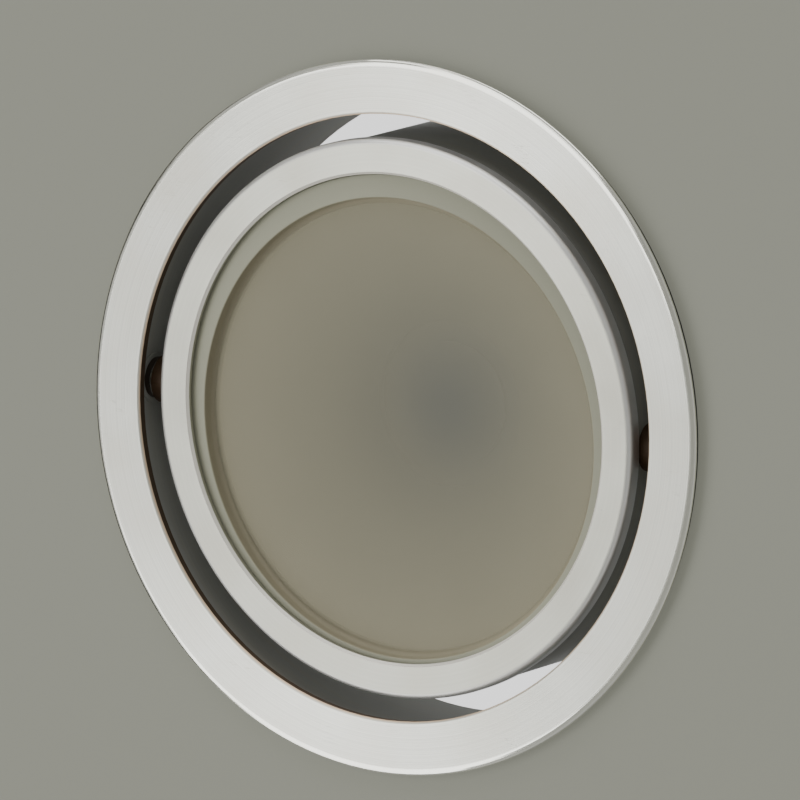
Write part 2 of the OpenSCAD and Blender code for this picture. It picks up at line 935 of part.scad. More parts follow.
module thermal_pad() {
    color([0.55, 0.6, 0.66])
        tilted()
        difference() {
            translate([0, 0, board_back])
                cylinder(r = board_r, h = pad_t);
            led_screw_places()
                translate([0, 0, board_back - 1])
                cylinder(d = led_screw_d + 2 * slip_gap, h = pad_t + 2, $fn = 24);
            translate([-wire_slot_w / 2, board_r - wire_slot_depth, board_back - 1])
                cube([wire_slot_w, 2 * wire_slot_depth, pad_t + 2]);
        }
}

// Angles of the three screws that hold the heat sink on the can
module sink_screw_places() {
    for (i = [0 : 2])
        rotate([0, 0, 30 + 120 * i])
            translate([sink_screw_ring_r, 0, 0])
            children();
}

// Cast heat sink: pedestal through the can, base plate, hub and tapering radial fins
module heat_sink() {
    fin_land = sink_r - fin_slope;
    screw_well_r = sink_screw_head_r + 0.6;
    color([0.55, 0.56, 0.57])
        tilted()
        difference() {
            union() {
                translate([0, 0, pad_back])
                    cylinder(r = pedestal_r, h = sink_bottom - pad_back + eps);
                translate([0, 0, sink_bottom])
                    cylinder(r = sink_r, h = sink_base_t);
                translate([0, 0, sink_base_top - eps])
                    cylinder(r = hub_r, h = fin_h + eps);
                intersection() {
                    translate([0, 0, sink_base_top - eps])
                        linear_extrude(fin_h + eps)
                        for (i = [0 : fin_count - 1])
                            rotate(i * 360 / fin_count)
                                translate([hub_r - 1, -fin_t / 2])
                                square([sink_r - hub_r + 1, fin_t]);
                    // Outline of the fins: straight side, then a slope to the driver case
                    rotate_extrude()
                        polygon([
                            [0, sink_base_top - 1],
                            [sink_r, sink_base_top - 1],
                            [sink_r, sink_base_top + fin_h * 0.45],
                            [fin_land, fin_top],
                            [0, fin_top]
                        ]);
                }
            }
            // Wells and holes of the screws into the can
            sink_screw_places() {
                translate([0, 0, sink_base_top])
                    cylinder(r = screw_well_r, h = fin_h + 1, $fn = 48);
                translate([0, 0, sink_bottom - 1])
                    cylinder(d = sink_screw_d + 2 * slip_gap, h = sink_base_t + 2, $fn = 24);
            }
            led_screw_places()
                translate([0, 0, pad_back - eps])
                cylinder(d = led_screw_d, h = led_screw_l, $fn = 24);
            case_screw_places()
                translate([0, 0, fin_top - case_screw_l])
                cylinder(d = case_screw_d, h = case_screw_l + 1, $fn = 24);
            // Wire duct, from a notch beside the board up through the hub
            translate([0, 0, duct_floor])
                cylinder(d = duct_d, h = fin_top - duct_floor + 1, $fn = 48);
            translate([-wire_slot_w / 2, 0, duct_floor])
                cube([wire_slot_w, 2 * board_r, sink_bottom - duct_floor + eps]);
            translate([-wire_slot_w / 2, board_r - wire_slot_depth, pad_back - 1])
                cube([wire_slot_w, 2 * wire_slot_depth, duct_floor - pad_back + 1 + eps]);
        }
}

module sink_screws() {
    color("silver")
        tilted()
        sink_screw_places()
        screw_down(sink_screw_d, sink_base_t + can_floor, sink_base_top,
            sink_screw_head_r, sink_screw_head_h);
}

// Angles of the two screws that hold the driver case on the hub
module case_screw_places() {
    for (a = [90, 270])
        rotate([0, 0, a])
            translate([case_screw_ring_r, 0, 0])
            children();
}

// Cup with a rounded top and the gland's hole
module driver_case() {
    color([0.86, 0.86, 0.84])
        tilted()
        difference() {
            rotate_extrude($fn = 120)
                difference() {
                    union() {
                        translate([0, lid_top])
                            square([case_r, case_top - case_round - lid_top]);
                        translate([0, case_top - case_round - eps])
                            square([case_r - case_round, case_round + eps]);
                        translate([case_r - case_round, case_top - case_round])
                            circle(r = case_round, $fn = 64);
                    }
                    translate([0, lid_top - 1])
                        square([case_in_r, case_top - case_wall - lid_top + 1 - case_round]);
                    translate([0, case_top - case_wall - case_round - eps])
                        square([case_in_r - case_round, case_round + eps]);
                    translate([-case_r, lid_top - 1])
                        square([case_r, case_h]);
                }
            translate([0, 0, case_top - case_wall - case_round])
                cylinder(r = gland_r + slip_gap, h = case_wall + case_round + 1);
            // Vent flutes round the side
            for (i = [0 : 35])
                rotate([0, 0, i * 10])
                    translate([case_r + 0.6, 0, lid_top + 3])
                    cylinder(r = 1.2, h = case_top - case_round - lid_top - 4, $fn = 24);
        }
}

module driver_lid() {
    color([0.8, 0.8, 0.78])
        tilted()
        difference() {
            union() {
                translate([0, 0, lid_bottom])
                    cylinder(r = case_r, h = lid_t, $fn = 120);
                // Rim that locates the cup
                ring(case_in_r - 1.2, case_in_r - slip_gap, lid_top - eps, lid_top + 2);
                // Posts under the driver board
                case_screw_places()
                    translate([0, 0, lid_top - eps])
                    cylinder(r = post_r, h = post_h + eps, $fn = 32);
            }
            case_screw_places()
                translate([0, 0, lid_bottom - 1])
                cylinder(d = case_screw_d + 2 * slip_gap, h = lid_t + post_h + 2, $fn = 24);
            translate([0, 0, lid_bottom - 1])
                cylinder(d = duct_d - 1, h = lid_t + 2, $fn = 48);
        }
}

// Board with its coil, capacitor and terminal block
module driver_board() {
    board_bottom = lid_top + post_h;
    board_top = board_bottom + driver_board_t;
    coil_size = [9, 10, 6];
    coil_inset = 7.7;
    capacitor_r = 4;
    capacitor_h = 6.5;
    capacitor_inset = 10.7;
    terminal_size = [8, 6, 5];
    terminal_inset = 8.4;
    color([0.25, 0.42, 0.3])
        tilted() {
            difference() {
                translate([0, 0, board_bottom])
                    cylinder(r = driver_board_r, h = driver_board_t);
                case_screw_places()
                    translate([0, 0, board_bottom - 1])
                    cylinder(d = case_screw_d + 2 * slip_gap, h = driver_board_t + 2, $fn = 24);
                translate([0, 0, board_bottom - 1])
                    cylinder(d = duct_d - 1, h = driver_board_t + 2, $fn = 48);
            }
            translate([coil_inset - driver_board_r, -coil_size[1] / 2, board_top - eps])
                cube(coil_size);
            translate([driver_board_r - capacitor_inset, 0, board_top - eps])
                cylinder(r = capacitor_r, h = capacitor_h, $fn = 32);
            translate([-terminal_size[0] / 2, driver_board_r - terminal_inset, board_top - eps])
                cube(terminal_size);
        }
}

module case_screws() {
    seat = lid_top + post_h + driver_board_t;
    color("silver")
        tilted()
        case_screw_places()
        screw_down(case_screw_d, seat - fin_top + case_screw_l - 1, seat,
            case_screw_head_r, case_screw_head_h);
}

// A hexagonal prism along Z, given from its axis to its flats
module hexagon(flat_r, z0, height) {
    translate([0, 0, z0])
        cylinder(r = 2 * flat_r / sqrt(3), h = height, $fn = 6);
}

module gland_body() {
    color([0.16, 0.16, 0.17])
        tilted()
        difference() {
            union() {
                translate([0, 0, case_top - case_wall - gland_collar_t])
                    cylinder(r = gland_r, h = gland_collar_t + case_wall + eps);
                hexagon(gland_flat_r, case_top, gland_flange_t);
                translate([0, 0, case_top + gland_flange_t - eps])
                    cylinder(r = gland_r, h = gland_neck_h + eps);
            }
            translate([0, 0, case_top - case_wall - gland_collar_t - 1])
                cylinder(r = gland_bore_r - 0.6, h = gland_neck_h + 20, $fn = 64);
            translate([0, 0, gland_top - seal_len])
                cylinder(r = gland_bore_r, h = seal_len + 1, $fn = 64);
        }
}

module gland_seal() {
    color([0.3, 0.3, 0.3])
        tilted()
        ring(cable_bore_d / 2, gland_bore_r - eps, gland_top - seal_len, gland_top);
}

// Domed nut with gripping flats over the gland's neck
module gland_nut() {
    nut_bottom = case_top + gland_flange_t + 0.6;
    nut_top = nut_bottom + gland_nut_h;
    corner_r = 2 * gland_flat_r / sqrt(3);
    color([0.16, 0.16, 0.17])
        tilted()
        difference() {
            intersection() {
                hexagon(gland_flat_r, nut_bottom, gland_nut_h);
                rotate_extrude()
                    polygon([
                        [0, nut_bottom],
                        [corner_r, nut_bottom],
                        [corner_r, nut_bottom + gland_nut_h * 0.5],
                        [gland_flat_r - 0.4, nut_bottom + gland_nut_h * 0.7],
                        [cable_bore_d / 2 + 1.6, nut_top],
                        [0, nut_top]
                    ]);
            }
            translate([0, 0, nut_bottom - 1])
                cylinder(r = gland_r + slip_gap / 2, h = gland_top - nut_bottom + 1 + slip_gap);
            translate([0, 0, nut_bottom])
                cylinder(r = cable_bore_d / 2 + 0.4, h = gland_nut_h + 1, $fn = 64);
        }
}

trim_ring();
collar();
flange_gasket();
pivot_screws();
wave_washers();
clip_bracket_a();
clip_bracket_b();
bracket_rivets();
clip_pins();
clip_spring_a();
clip_spring_b();
clip_lever_a();
clip_lever_b();
clip_pad_a();
clip_pad_b();
head_ring();
head_can();
pivot_bushes();
diffuser();
diffuser_gasket();
reflector();
led_emitter();
led_board();
led_holder();
led_screws();
thermal_pad();
heat_sink();
sink_screws();
driver_case();
driver_board();
driver_lid();
case_screws();
gland_body();
gland_seal();
gland_nut();
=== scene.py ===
"""Looks of a recessed soffit downlight with a tilting head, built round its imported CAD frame."""

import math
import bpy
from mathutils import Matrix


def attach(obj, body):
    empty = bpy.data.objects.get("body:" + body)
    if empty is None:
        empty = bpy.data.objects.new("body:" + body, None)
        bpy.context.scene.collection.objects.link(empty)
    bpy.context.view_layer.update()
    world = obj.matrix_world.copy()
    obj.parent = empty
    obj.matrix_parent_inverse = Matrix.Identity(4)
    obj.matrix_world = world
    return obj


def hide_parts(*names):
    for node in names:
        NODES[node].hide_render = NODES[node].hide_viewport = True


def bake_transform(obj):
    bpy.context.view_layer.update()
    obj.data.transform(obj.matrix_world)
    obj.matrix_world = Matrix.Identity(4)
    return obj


bl_info = {
    "name": "Soffit Downlight",
    "version": (1, 0, 0),
    "blender": (4, 5, 0),
    "location": "View3D > Sidebar > Downlight",
    "description": "Finishes, springs, small fittings and stage of a tilting soffit downlight",
    "category": "Object",
}

import bmesh
import bpy
from bpy.props import FloatProperty, FloatVectorProperty, IntProperty, PointerProperty
from bpy.types import Operator, Panel, PropertyGroup
from mathutils import Matrix, Vector

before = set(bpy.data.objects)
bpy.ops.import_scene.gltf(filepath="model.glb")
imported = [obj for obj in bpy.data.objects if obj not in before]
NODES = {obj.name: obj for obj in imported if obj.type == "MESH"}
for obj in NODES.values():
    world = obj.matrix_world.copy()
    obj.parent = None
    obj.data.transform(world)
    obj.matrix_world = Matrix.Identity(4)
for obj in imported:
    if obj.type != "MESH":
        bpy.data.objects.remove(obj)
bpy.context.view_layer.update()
MM = 0.001
MM_PER_METRE = 1000.0
DUST = (0.36, 0.33, 0.28)


# ---------------------------------------------------------------- sizes and colours


class DownlightSizes(PropertyGroup):
    """Sizes of the fixture that the finishes and the added pieces follow"""

    head_tilt: FloatProperty(
        name="Head Tilt",
        description="How far the head stands tilted about the pivots at rest",
        default=math.radians(2.5),
        subtype="ANGLE",
    )
    pivot_height: FloatProperty(
        name="Pivot Height",
        description="Height of the pivot axis above the soffit",
        default=4.7 * MM,
        unit="LENGTH",
    )
    diffuser_offset: FloatProperty(
        name="Diffuser Offset",
        description="How far the diffuser lies off centre in its seat",
        default=1.6 * MM,
        unit="LENGTH",
    )
    lip_chamfer: FloatProperty(
        name="Lip Chamfer",
        description="Chamfer of the head ring's lip, in front of the diffuser",
        default=0.4 * MM,
        unit="LENGTH",
    )
    head_round: FloatProperty(
        name="Head Ring Rounding",
        description="Radius of the head ring's outer edge",
        default=1.0 * MM,
        unit="LENGTH",
    )
    step_round: FloatProperty(
        name="Diffuser Step Rounding",
        description="Radius of the edge between the diffuser's rim and its step",
        default=0.25 * MM,
        unit="LENGTH",
    )
    groove_pitch: FloatProperty(
        name="Groove Pitch",
        description="Distance between the turned grooves of the trim ring",
        default=0.3 * MM,
        unit="LENGTH",
    )
    wire_radius: FloatProperty(
        name="Spring Wire Radius",
        description="Radius of the wire of the clip springs",
        default=0.5 * MM,
        unit="LENGTH",
    )
    coil_radius: FloatProperty(
        name="Coil Radius",
        description="Radius of the clip springs, to the middle of the wire",
        default=2.1 * MM,
        unit="LENGTH",
    )
    coil_pitch: FloatProperty(
        name="Coil Pitch",
        description="Distance between two turns of a clip spring",
        default=1.5 * MM,
        unit="LENGTH",
    )
    spring_turns: IntProperty(
        name="Spring Turns",
        description="Full turns of each clip spring",
        default=4,
        min=1,
    )
    bracket_leg: FloatProperty(
        name="Bracket Leg",
        description="Length of the spring leg that lies on the bracket",
        default=11.0 * MM,
        unit="LENGTH",
    )
    lever_leg: FloatProperty(
        name="Lever Leg",
        description="Length of the spring leg that lies on the lever",
        default=12.0 * MM,
        unit="LENGTH",
    )
    lever_droop: FloatProperty(
        name="Lever Droop",
        description="Angle of the free clip levers below the horizontal",
        default=math.radians(35),
        subtype="ANGLE",
    )
    clip_x: FloatProperty(
        name="Clip Pin Distance",
        description="Distance of the clip pins from the fixture's axis",
        default=45.8 * MM,
        unit="LENGTH",
    )
    clip_z: FloatProperty(
        name="Clip Pin Height",
        description="Height of the clip pins above the soffit",
        default=31.0 * MM,
        unit="LENGTH",
    )


class DownlightFinishes(PropertyGroup):
    """Colours of the fixture"""

    trim: FloatVectorProperty(
        name="Trim Metal",
        description="Clear anodised, turned aluminium",
        subtype="COLOR",
        default=(0.93, 0.935, 0.87),
    )
    # painted highlight: a warm pale line painted round the trim ring's bore
    bore_highlight: FloatVectorProperty(
        name="Bore Edge",
        description="Warm tint of the trim ring's bore, where the anodising is thin",
        subtype="COLOR",
        default=(0.75, 0.52, 0.33),
    )
    head: FloatVectorProperty(
        name="Head Metal",
        description="Satin anodised aluminium of the head ring",
        subtype="COLOR",
        default=(0.5, 0.5, 0.445),
    )
    enamel: FloatVectorProperty(
        name="Dark Enamel",
        description="Semi-gloss enamel of collar and can",
        subtype="COLOR",
        default=(0.345, 0.35, 0.325),
    )
    bronze: FloatVectorProperty(
        name="Oiled Bronze",
        description="Pivot bushes",
        subtype="COLOR",
        default=(0.055, 0.032, 0.018),
    )
    diffuser: FloatVectorProperty(
        name="Frosted Diffuser",
        description="Flat middle of the diffuser",
        subtype="COLOR",
        default=(0.243, 0.232, 0.173),
    )
    diffuser_rim: FloatVectorProperty(
        name="Diffuser Rim",
        description="Raised rim of the diffuser, which has no light chamber behind it",
        subtype="COLOR",
        default=(0.405, 0.405, 0.315),
    )
    chamber: FloatVectorProperty(
        name="Light Chamber",
        description="Tone of the reflector near the diffuser",
        subtype="COLOR",
        default=(0.585, 0.53, 0.37),
    )
    emitter: FloatVectorProperty(
        name="Emitter",
        description="Tone of the unlit emitter",
        subtype="COLOR",
        default=(0.044, 0.075, 0.132),
    )
    casting: FloatVectorProperty(
        name="Cast Aluminium",
        description="Heat sink",
        subtype="COLOR",
        default=(0.38, 0.39, 0.4),
    )
    housing: FloatVectorProperty(
        name="Housing Plastic",
        description="Driver case and its floor plate",
        subtype="COLOR",
        default=(0.62, 0.62, 0.59),
    )
    nylon: FloatVectorProperty(
        name="Black Nylon",
        description="Cable gland",
        subtype="COLOR",
        default=(0.022, 0.022, 0.024),
    )
    zinc: FloatVectorProperty(
        name="Zinc Plate",
        description="Stamped clips and brackets",
        subtype="COLOR",
        default=(0.52, 0.53, 0.54),
    )
    soffit: FloatVectorProperty(
        name="Soffit Panel",
        description="Plain pale panel that the fixture is shown in",
        subtype="COLOR",
        default=(0.293, 0.298, 0.249),
    )


class DownlightStage(PropertyGroup):
    """Camera, panel and lights"""

    lens: FloatProperty(
        name="Lens",
        description="Focal length of the camera in millimetres",
        default=630.0,
    )
    camera_distance: FloatProperty(
        name="Camera Distance",
        description="Distance of the camera from the trim ring",
        default=2.134,
        unit="LENGTH",
    )
    cutout_radius: FloatProperty(
        name="Cut-out Radius",
        description="Radius of the hole in the soffit panel",
        default=50.3 * MM,
        unit="LENGTH",
    )
    key_strength: FloatProperty(
        name="Key Strength",
        description="Radiance of the large softbox",
        default=2.3,
    )
    strip_strength: FloatProperty(
        name="Strip Strength",
        description="Radiance of the long softbox at the side, which draws the fans on the turned face",
        default=1.7,
    )


# ---------------------------------------------------------------- shader building blocks


def add(tree, kind, **settings):
    """A new node with its attributes"""
    made = tree.nodes.new(kind)
    for key, value in settings.items():
        setattr(made, key, value)
    return made


def wire(tree, source, target):
    """Links an output to an input"""
    tree.links.new(source, target)


def feed(tree, value, target):
    """Links a socket to an input, or sets the input to a number, a vector or a colour"""
    if isinstance(value, bpy.types.NodeSocket):
        wire(tree, value, target)
    elif target.type == "RGBA":
        target.default_value = (*value[:3], 1.0)
    else:
        target.default_value = value


def feed_all(tree, node, **inputs):
    """Links or sets inputs of a node by their names, with _ for a space"""
    for name, value in inputs.items():
        feed(tree, value, node.inputs[name.replace("_", " ")])


def number(tree, operation, *values):
    """A Math node: each value is a number or a socket"""
    made = add(tree, "ShaderNodeMath", operation=operation)
    for target, value in zip(made.inputs, values):
        feed(tree, value, target)
    return made.outputs[0]


def times(tree, first, second):
    """The product of two numbers or sockets"""
    return number(tree, "MULTIPLY", first, second)


def blend_colour(tree, factor, first, second):
    """A colour Mix node: factor and colours are values or sockets"""
    made = add(tree, "ShaderNodeMix", data_type="RGBA", blend_type="MIX")
    for place, value in ((0, factor), (6, first), (7, second)):
        feed(tree, value, made.inputs[place])
    return made.outputs[2]


def span(tree, value, low, high, to_low=0.0, to_high=1.0):
    """A clamped Map Range node"""
    made = add(tree, "ShaderNodeMapRange", clamp=True)
    wire(tree, value, made.inputs["Value"])
    for name, amount in (("From Min", low), ("From Max", high), ("To Min", to_low), ("To Max", to_high)):
        made.inputs[name].default_value = amount
    return made.outputs["Result"]


def noise(tree, vector, scale, detail=2.0, dimensions="3D", roughness=0.5):
    """A Noise Texture node over a point, or over one number if it has one dimension"""
    made = add(tree, "ShaderNodeTexNoise", noise_dimensions=dimensions)
    wire(tree, vector, made.inputs["W" if dimensions == "1D" else "Vector"])
    made.inputs["Scale"].default_value = scale
    made.inputs["Detail"].default_value = detail
    made.inputs["Roughness"].default_value = roughness
    return made.outputs["Fac"]


def ramp_of(tree, value, stops, tint=(1.0, 1.0, 1.0), **settings):
    """A Color Ramp node over a value, its stops given as position and tone"""
    made = add(tree, "ShaderNodeValToRGB")
    for name, setting in settings.items():
        setattr(made.color_ramp, name, setting)
    while len(made.color_ramp.elements) < len(stops):
        made.color_ramp.elements.new(0.5)
    for element, (position, tone) in zip(made.color_ramp.elements, stops):
        element.position = position
        element.color = (tone * tint[0], tone * tint[1], tone * tint[2], 1.0)
    wire(tree, value, made.inputs[0])
    return made.outputs[0]


def shader_group(name, inputs, outputs):
    """An empty shader node group with its sockets, as (group, what is given to it, what it gives out)"""
    group = bpy.data.node_groups.new(name, "ShaderNodeTree")
    for label, kind, default in inputs:
        socket = group.interface.new_socket(name=label, in_out="INPUT", socket_type=kind)
        if default is not None:
            socket.default_value = default
    for label, kind in outputs:
        group.interface.new_socket(name=label, in_out="OUTPUT", socket_type=kind)
    return group, add(group, "NodeGroupInput").outputs, add(group, "NodeGroupOutput").inputs


def round_the_axis():
    """A place in mm as radius, height and angle round the axis of a turned piece"""
    group, given, result = shader_group(
        "Round the Axis",
        [("Place", "NodeSocketVector", None)],
        [("Radius", "NodeSocketFloat"), ("Height", "NodeSocketFloat"), ("Angle", "NodeSocketFloat")],
    )
    parts = add(group, "ShaderNodeSeparateXYZ")
    wire(group, given["Place"], parts.inputs[0])
    x, y, z = parts.outputs
    square = number(group, "ADD", times(group, x, x), times(group, y, y))
    wire(group, number(group, "SQRT", square), result["Radius"])
    wire(group, z, result["Height"])
    wire(group, number(group, "ARCTAN2", y, x), result["Angle"])
    return group


def turned_grooves():
    """Fine grooves of a lathe tool: a wave over the radius, uneven from groove to groove"""
    group, given, result = shader_group(
        "Turned Grooves",
        [("Radius", "NodeSocketFloat", 0.0), ("Pitch", "NodeSocketFloat", 0.3)],
        [("Height", "NodeSocketFloat"), ("Tone", "NodeSocketFloat")],
    )
    radius = given["Radius"]
    drift = times(group, noise(group, radius, 1.3, 1.0, "1D"), 0.25)
    turns = number(group, "DIVIDE", number(group, "ADD", radius, drift), given["Pitch"])
    wave = number(group, "SINE", times(group, turns, 2 * math.pi))
    uneven = span(group, noise(group, radius, 9.0, 2.0, "1D"), 0.3, 0.7, 0.35, 1.0)
    height = times(group, wave, uneven)
    wire(group, number(group, "MULTIPLY_ADD", height, 0.5, 0.5), result["Height"])
    wire(group, noise(group, radius, 2.6, 3.0, "1D"), result["Tone"])
    return group


def handling_marks():
    """Hair scratches, specks and slow patches of a handled metal face, in mm coordinates"""
    group, given, result = shader_group(
        "Handling Marks",
        [("Point", "NodeSocketVector", None), ("Scratch Length", "NodeSocketFloat", 3.0)],
        [("Scratches", "NodeSocketFloat"), ("Specks", "NodeSocketFloat"), ("Patches", "NodeSocketFloat")],
    )
    marks = None
    for turn, offset in ((0.5, 0.0), (2.1, 17.0), (1.25, 41.0)):
        mapped = add(group, "ShaderNodeMapping")
        wire(group, given["Point"], mapped.inputs["Vector"])
        mapped.inputs["Location"].default_value = (offset, offset * 0.7, 0.0)
        mapped.inputs["Rotation"].default_value = (0.0, 0.0, turn)
        mapped.inputs["Scale"].default_value = (0.28, 5.0, 1.0)
        line = span(group, noise(group, mapped.outputs[0], 1.0, 1.0), 0.715, 0.735)
        marks = line if marks is None else number(group, "MAXIMUM", marks, line)
    gate = span(group, noise(group, given["Point"], 0.16, 1.0), 0.6, 0.7)
    wire(group, times(group, marks, gate), result["Scratches"])
    cells = add(group, "ShaderNodeTexVoronoi", feature="F1")
    wire(group, given["Point"], cells.inputs["Vector"])
    cells.inputs["Scale"].default_value = 0.55
    dot = span(group, cells.outputs["Distance"], 0.05, 0.11, 1.0, 0.0)
    rare = add(group, "ShaderNodeSeparateColor")
    wire(group, cells.outputs["Color"], rare.inputs[0])
    wire(group, times(group, dot, span(group, rare.outputs[0], 0.93, 0.94)), result["Specks"])
    wire(group, noise(group, given["Point"], 0.07, 3.0), result["Patches"])
    return group


def fine_grain():
    """Even grain of moulded plastic, paint, blasted or cast skin"""
    group, given, result = shader_group(
        "Fine Grain",
        [("Point", "NodeSocketVector", None), ("Size", "NodeSocketFloat", 0.3)],
        [("Height", "NodeSocketFloat"), ("Mottle", "NodeSocketFloat")],
    )
    scaled = add(group, "ShaderNodeVectorMath", operation="SCALE")
    wire(group, given["Point"], scaled.inputs[0])
    wire(group, number(group, "DIVIDE", 1.0, given["Size"]), scaled.inputs["Scale"])
    cells = add(group, "ShaderNodeTexVoronoi", feature="SMOOTH_F1")
    wire(group, scaled.outputs[0], cells.inputs["Vector"])
    cells.inputs["Scale"].default_value = 1.0
    cells.inputs["Smoothness"].default_value = 0.6
    fine = noise(group, scaled.outputs[0], 1.7, 3.0)
    wire(group, number(group, "ADD", cells.outputs["Distance"], fine), result["Height"])
    wire(group, noise(group, given["Point"], 0.12, 4.0), result["Mottle"])
    return group


def drawn_streaks():
    """Streaks that run round a drawn or turned wall"""
    group, given, result = shader_group(
        "Drawn Streaks",
        [(label, "NodeSocketFloat", 0.0) for label in ("Angle", "Height", "Radius")],
        [("Streaks", "NodeSocketFloat"), ("Haze", "NodeSocketFloat")],
    )
    place = add(group, "ShaderNodeCombineXYZ")
    wire(group, times(group, number(group, "SINE", given["Angle"]), 2.0), place.inputs["X"])
    wire(group, times(group, number(group, "COSINE", given["Angle"]), 2.0), place.inputs["Y"])
    level = number(group, "ADD", times(group, given["Height"], 6.0), given["Radius"])
    wire(group, level, place.inputs["Z"])
    wire(group, noise(group, place.outputs[0], 0.9, 4.0), result["Streaks"])
    wire(group, noise(group, place.outputs[0], 0.12, 2.0), result["Haze"])
    return group


def settled_dust():
    """Dust that has settled on faces that look up in the roof space"""
    group, given, result = shader_group(
        "Settled Dust",
        [("Point", "NodeSocketVector", None), ("Amount", "NodeSocketFloat", 0.5)],
        [("Dust", "NodeSocketFloat")],
    )
    geometry = add(group, "ShaderNodeNewGeometry")
    normal = add(group, "ShaderNodeSeparateXYZ")
    wire(group, geometry.outputs["Normal"], normal.inputs[0])
    upward = span(group, normal.outputs["Z"], 0.35, 1.0)
    patch = span(group, noise(group, given["Point"], 0.35, 5.0, roughness=0.65), 0.35, 0.75)
    wire(group, times(group, times(group, upward, patch), given["Amount"]), result["Dust"])
    return group


def light_chamber_tone():
    """Soft tone of everything behind the diffuser: blue-grey at the emitter, warm farther out"""
    group, given, result = shader_group(
        "Light Chamber Tone",
        [
            ("Radius", "NodeSocketFloat", 0.0),
            ("Middle", "NodeSocketColor", (0.13, 0.15, 0.2, 1.0)),
            ("Outside", "NodeSocketColor", (0.33, 0.3, 0.22, 1.0)),
        ],
        [("Color", "NodeSocketColor")],
    )
    chamber_radius = 38.0
    out = span(group, given["Radius"], 0.0, chamber_radius)
    stops = ((0.0, 0.0), (0.12, 0.05), (0.3, 0.36), (0.55, 0.6), (1.0, 1.0))
    warmth = ramp_of(group, out, stops, interpolation="B_SPLINE")
    tone = blend_colour(group, warmth, given["Middle"], given["Outside"])
    wire(group, tone, result["Color"])
    return group


BLOCKS = {}
FINISHES = {}


def block(tree, key, **inputs):
    """Places a shared shader group in a material, its inputs set or wired, and gives its outputs"""
    made = add(tree, "ShaderNodeGroup", node_tree=BLOCKS[key])
    feed_all(tree, made, **inputs)
    return made.outputs


def finish_of(name):
    """A new material with a Principled shader, as (its tree, the shader)"""
    material = bpy.data.materials.new(name)
    material.use_nodes = True
    tree = material.node_tree
    tree.nodes.clear()
    surface = add(tree, "ShaderNodeOutputMaterial")
    shader = add(tree, "ShaderNodeBsdfPrincipled")
    wire(tree, shader.outputs["BSDF"], surface.inputs["Surface"])
    FINISHES[name] = material
    return tree, shader


def bump(tree, shader, height, strength, depth):
    """Raises the surface of a shader by a height map, its depth given in mm"""
    made = add(tree, "ShaderNodeBump")
    made.inputs["Strength"].default_value = strength
    made.inputs["Distance"].default_value = depth * MM
    wire(tree, height, made.inputs["Height"])
    wire(tree, made.outputs[0], shader.inputs["Normal"])


def shade(colour, factor):
    """A colour made darker or paler, kept between 0 and 1"""
    return tuple(max(0.0, min(1.0, part * factor)) for part in colour)


def tinted(colour, tint):
    """A colour multiplied with a tint"""
    return tuple(part * share for part, share in zip(colour, tint))


def two_tones(tree, mask, low, high, colour, dark, pale):
    """A colour that goes from a darker to a paler shade as the mask goes from low to high"""
    return blend_colour(tree, span(tree, mask, low, high), shade(colour, dark), shade(colour, pale))


def side_of(tree, axis, degrees):
    """How far a place lies towards one side of a round piece: 1 on that side, -1 opposite"""
    return number(tree, "COSINE", number(tree, "SUBTRACT", axis["Angle"], math.radians(degrees)))


def place_mm(tree, sizes=None, shift=0.0):
    """Object coordinates in mm; with sizes, turned back by the head's tilt and centred on its axis"""
    place = add(tree, "ShaderNodeTexCoord")
    mapped = add(tree, "ShaderNodeMapping")
    wire(tree, place.outputs["Object"], mapped.inputs["Vector"])
    mapped.inputs["Scale"].default_value = (MM_PER_METRE, MM_PER_METRE, MM_PER_METRE)
    if sizes:
        turn = Matrix.Rotation(-sizes.head_tilt, 3, "X")
        pivot = Vector((0.0, 0.0, sizes.pivot_height))
        away = (pivot - turn @ pivot) * MM_PER_METRE
        mapped.inputs["Rotation"].default_value = (-sizes.head_tilt, 0.0, 0.0)
        mapped.inputs["Location"].default_value = (away.x, away.y - shift * MM_PER_METRE, away.z)
    return mapped.outputs[0]


# ---------------------------------------------------------------- finishes


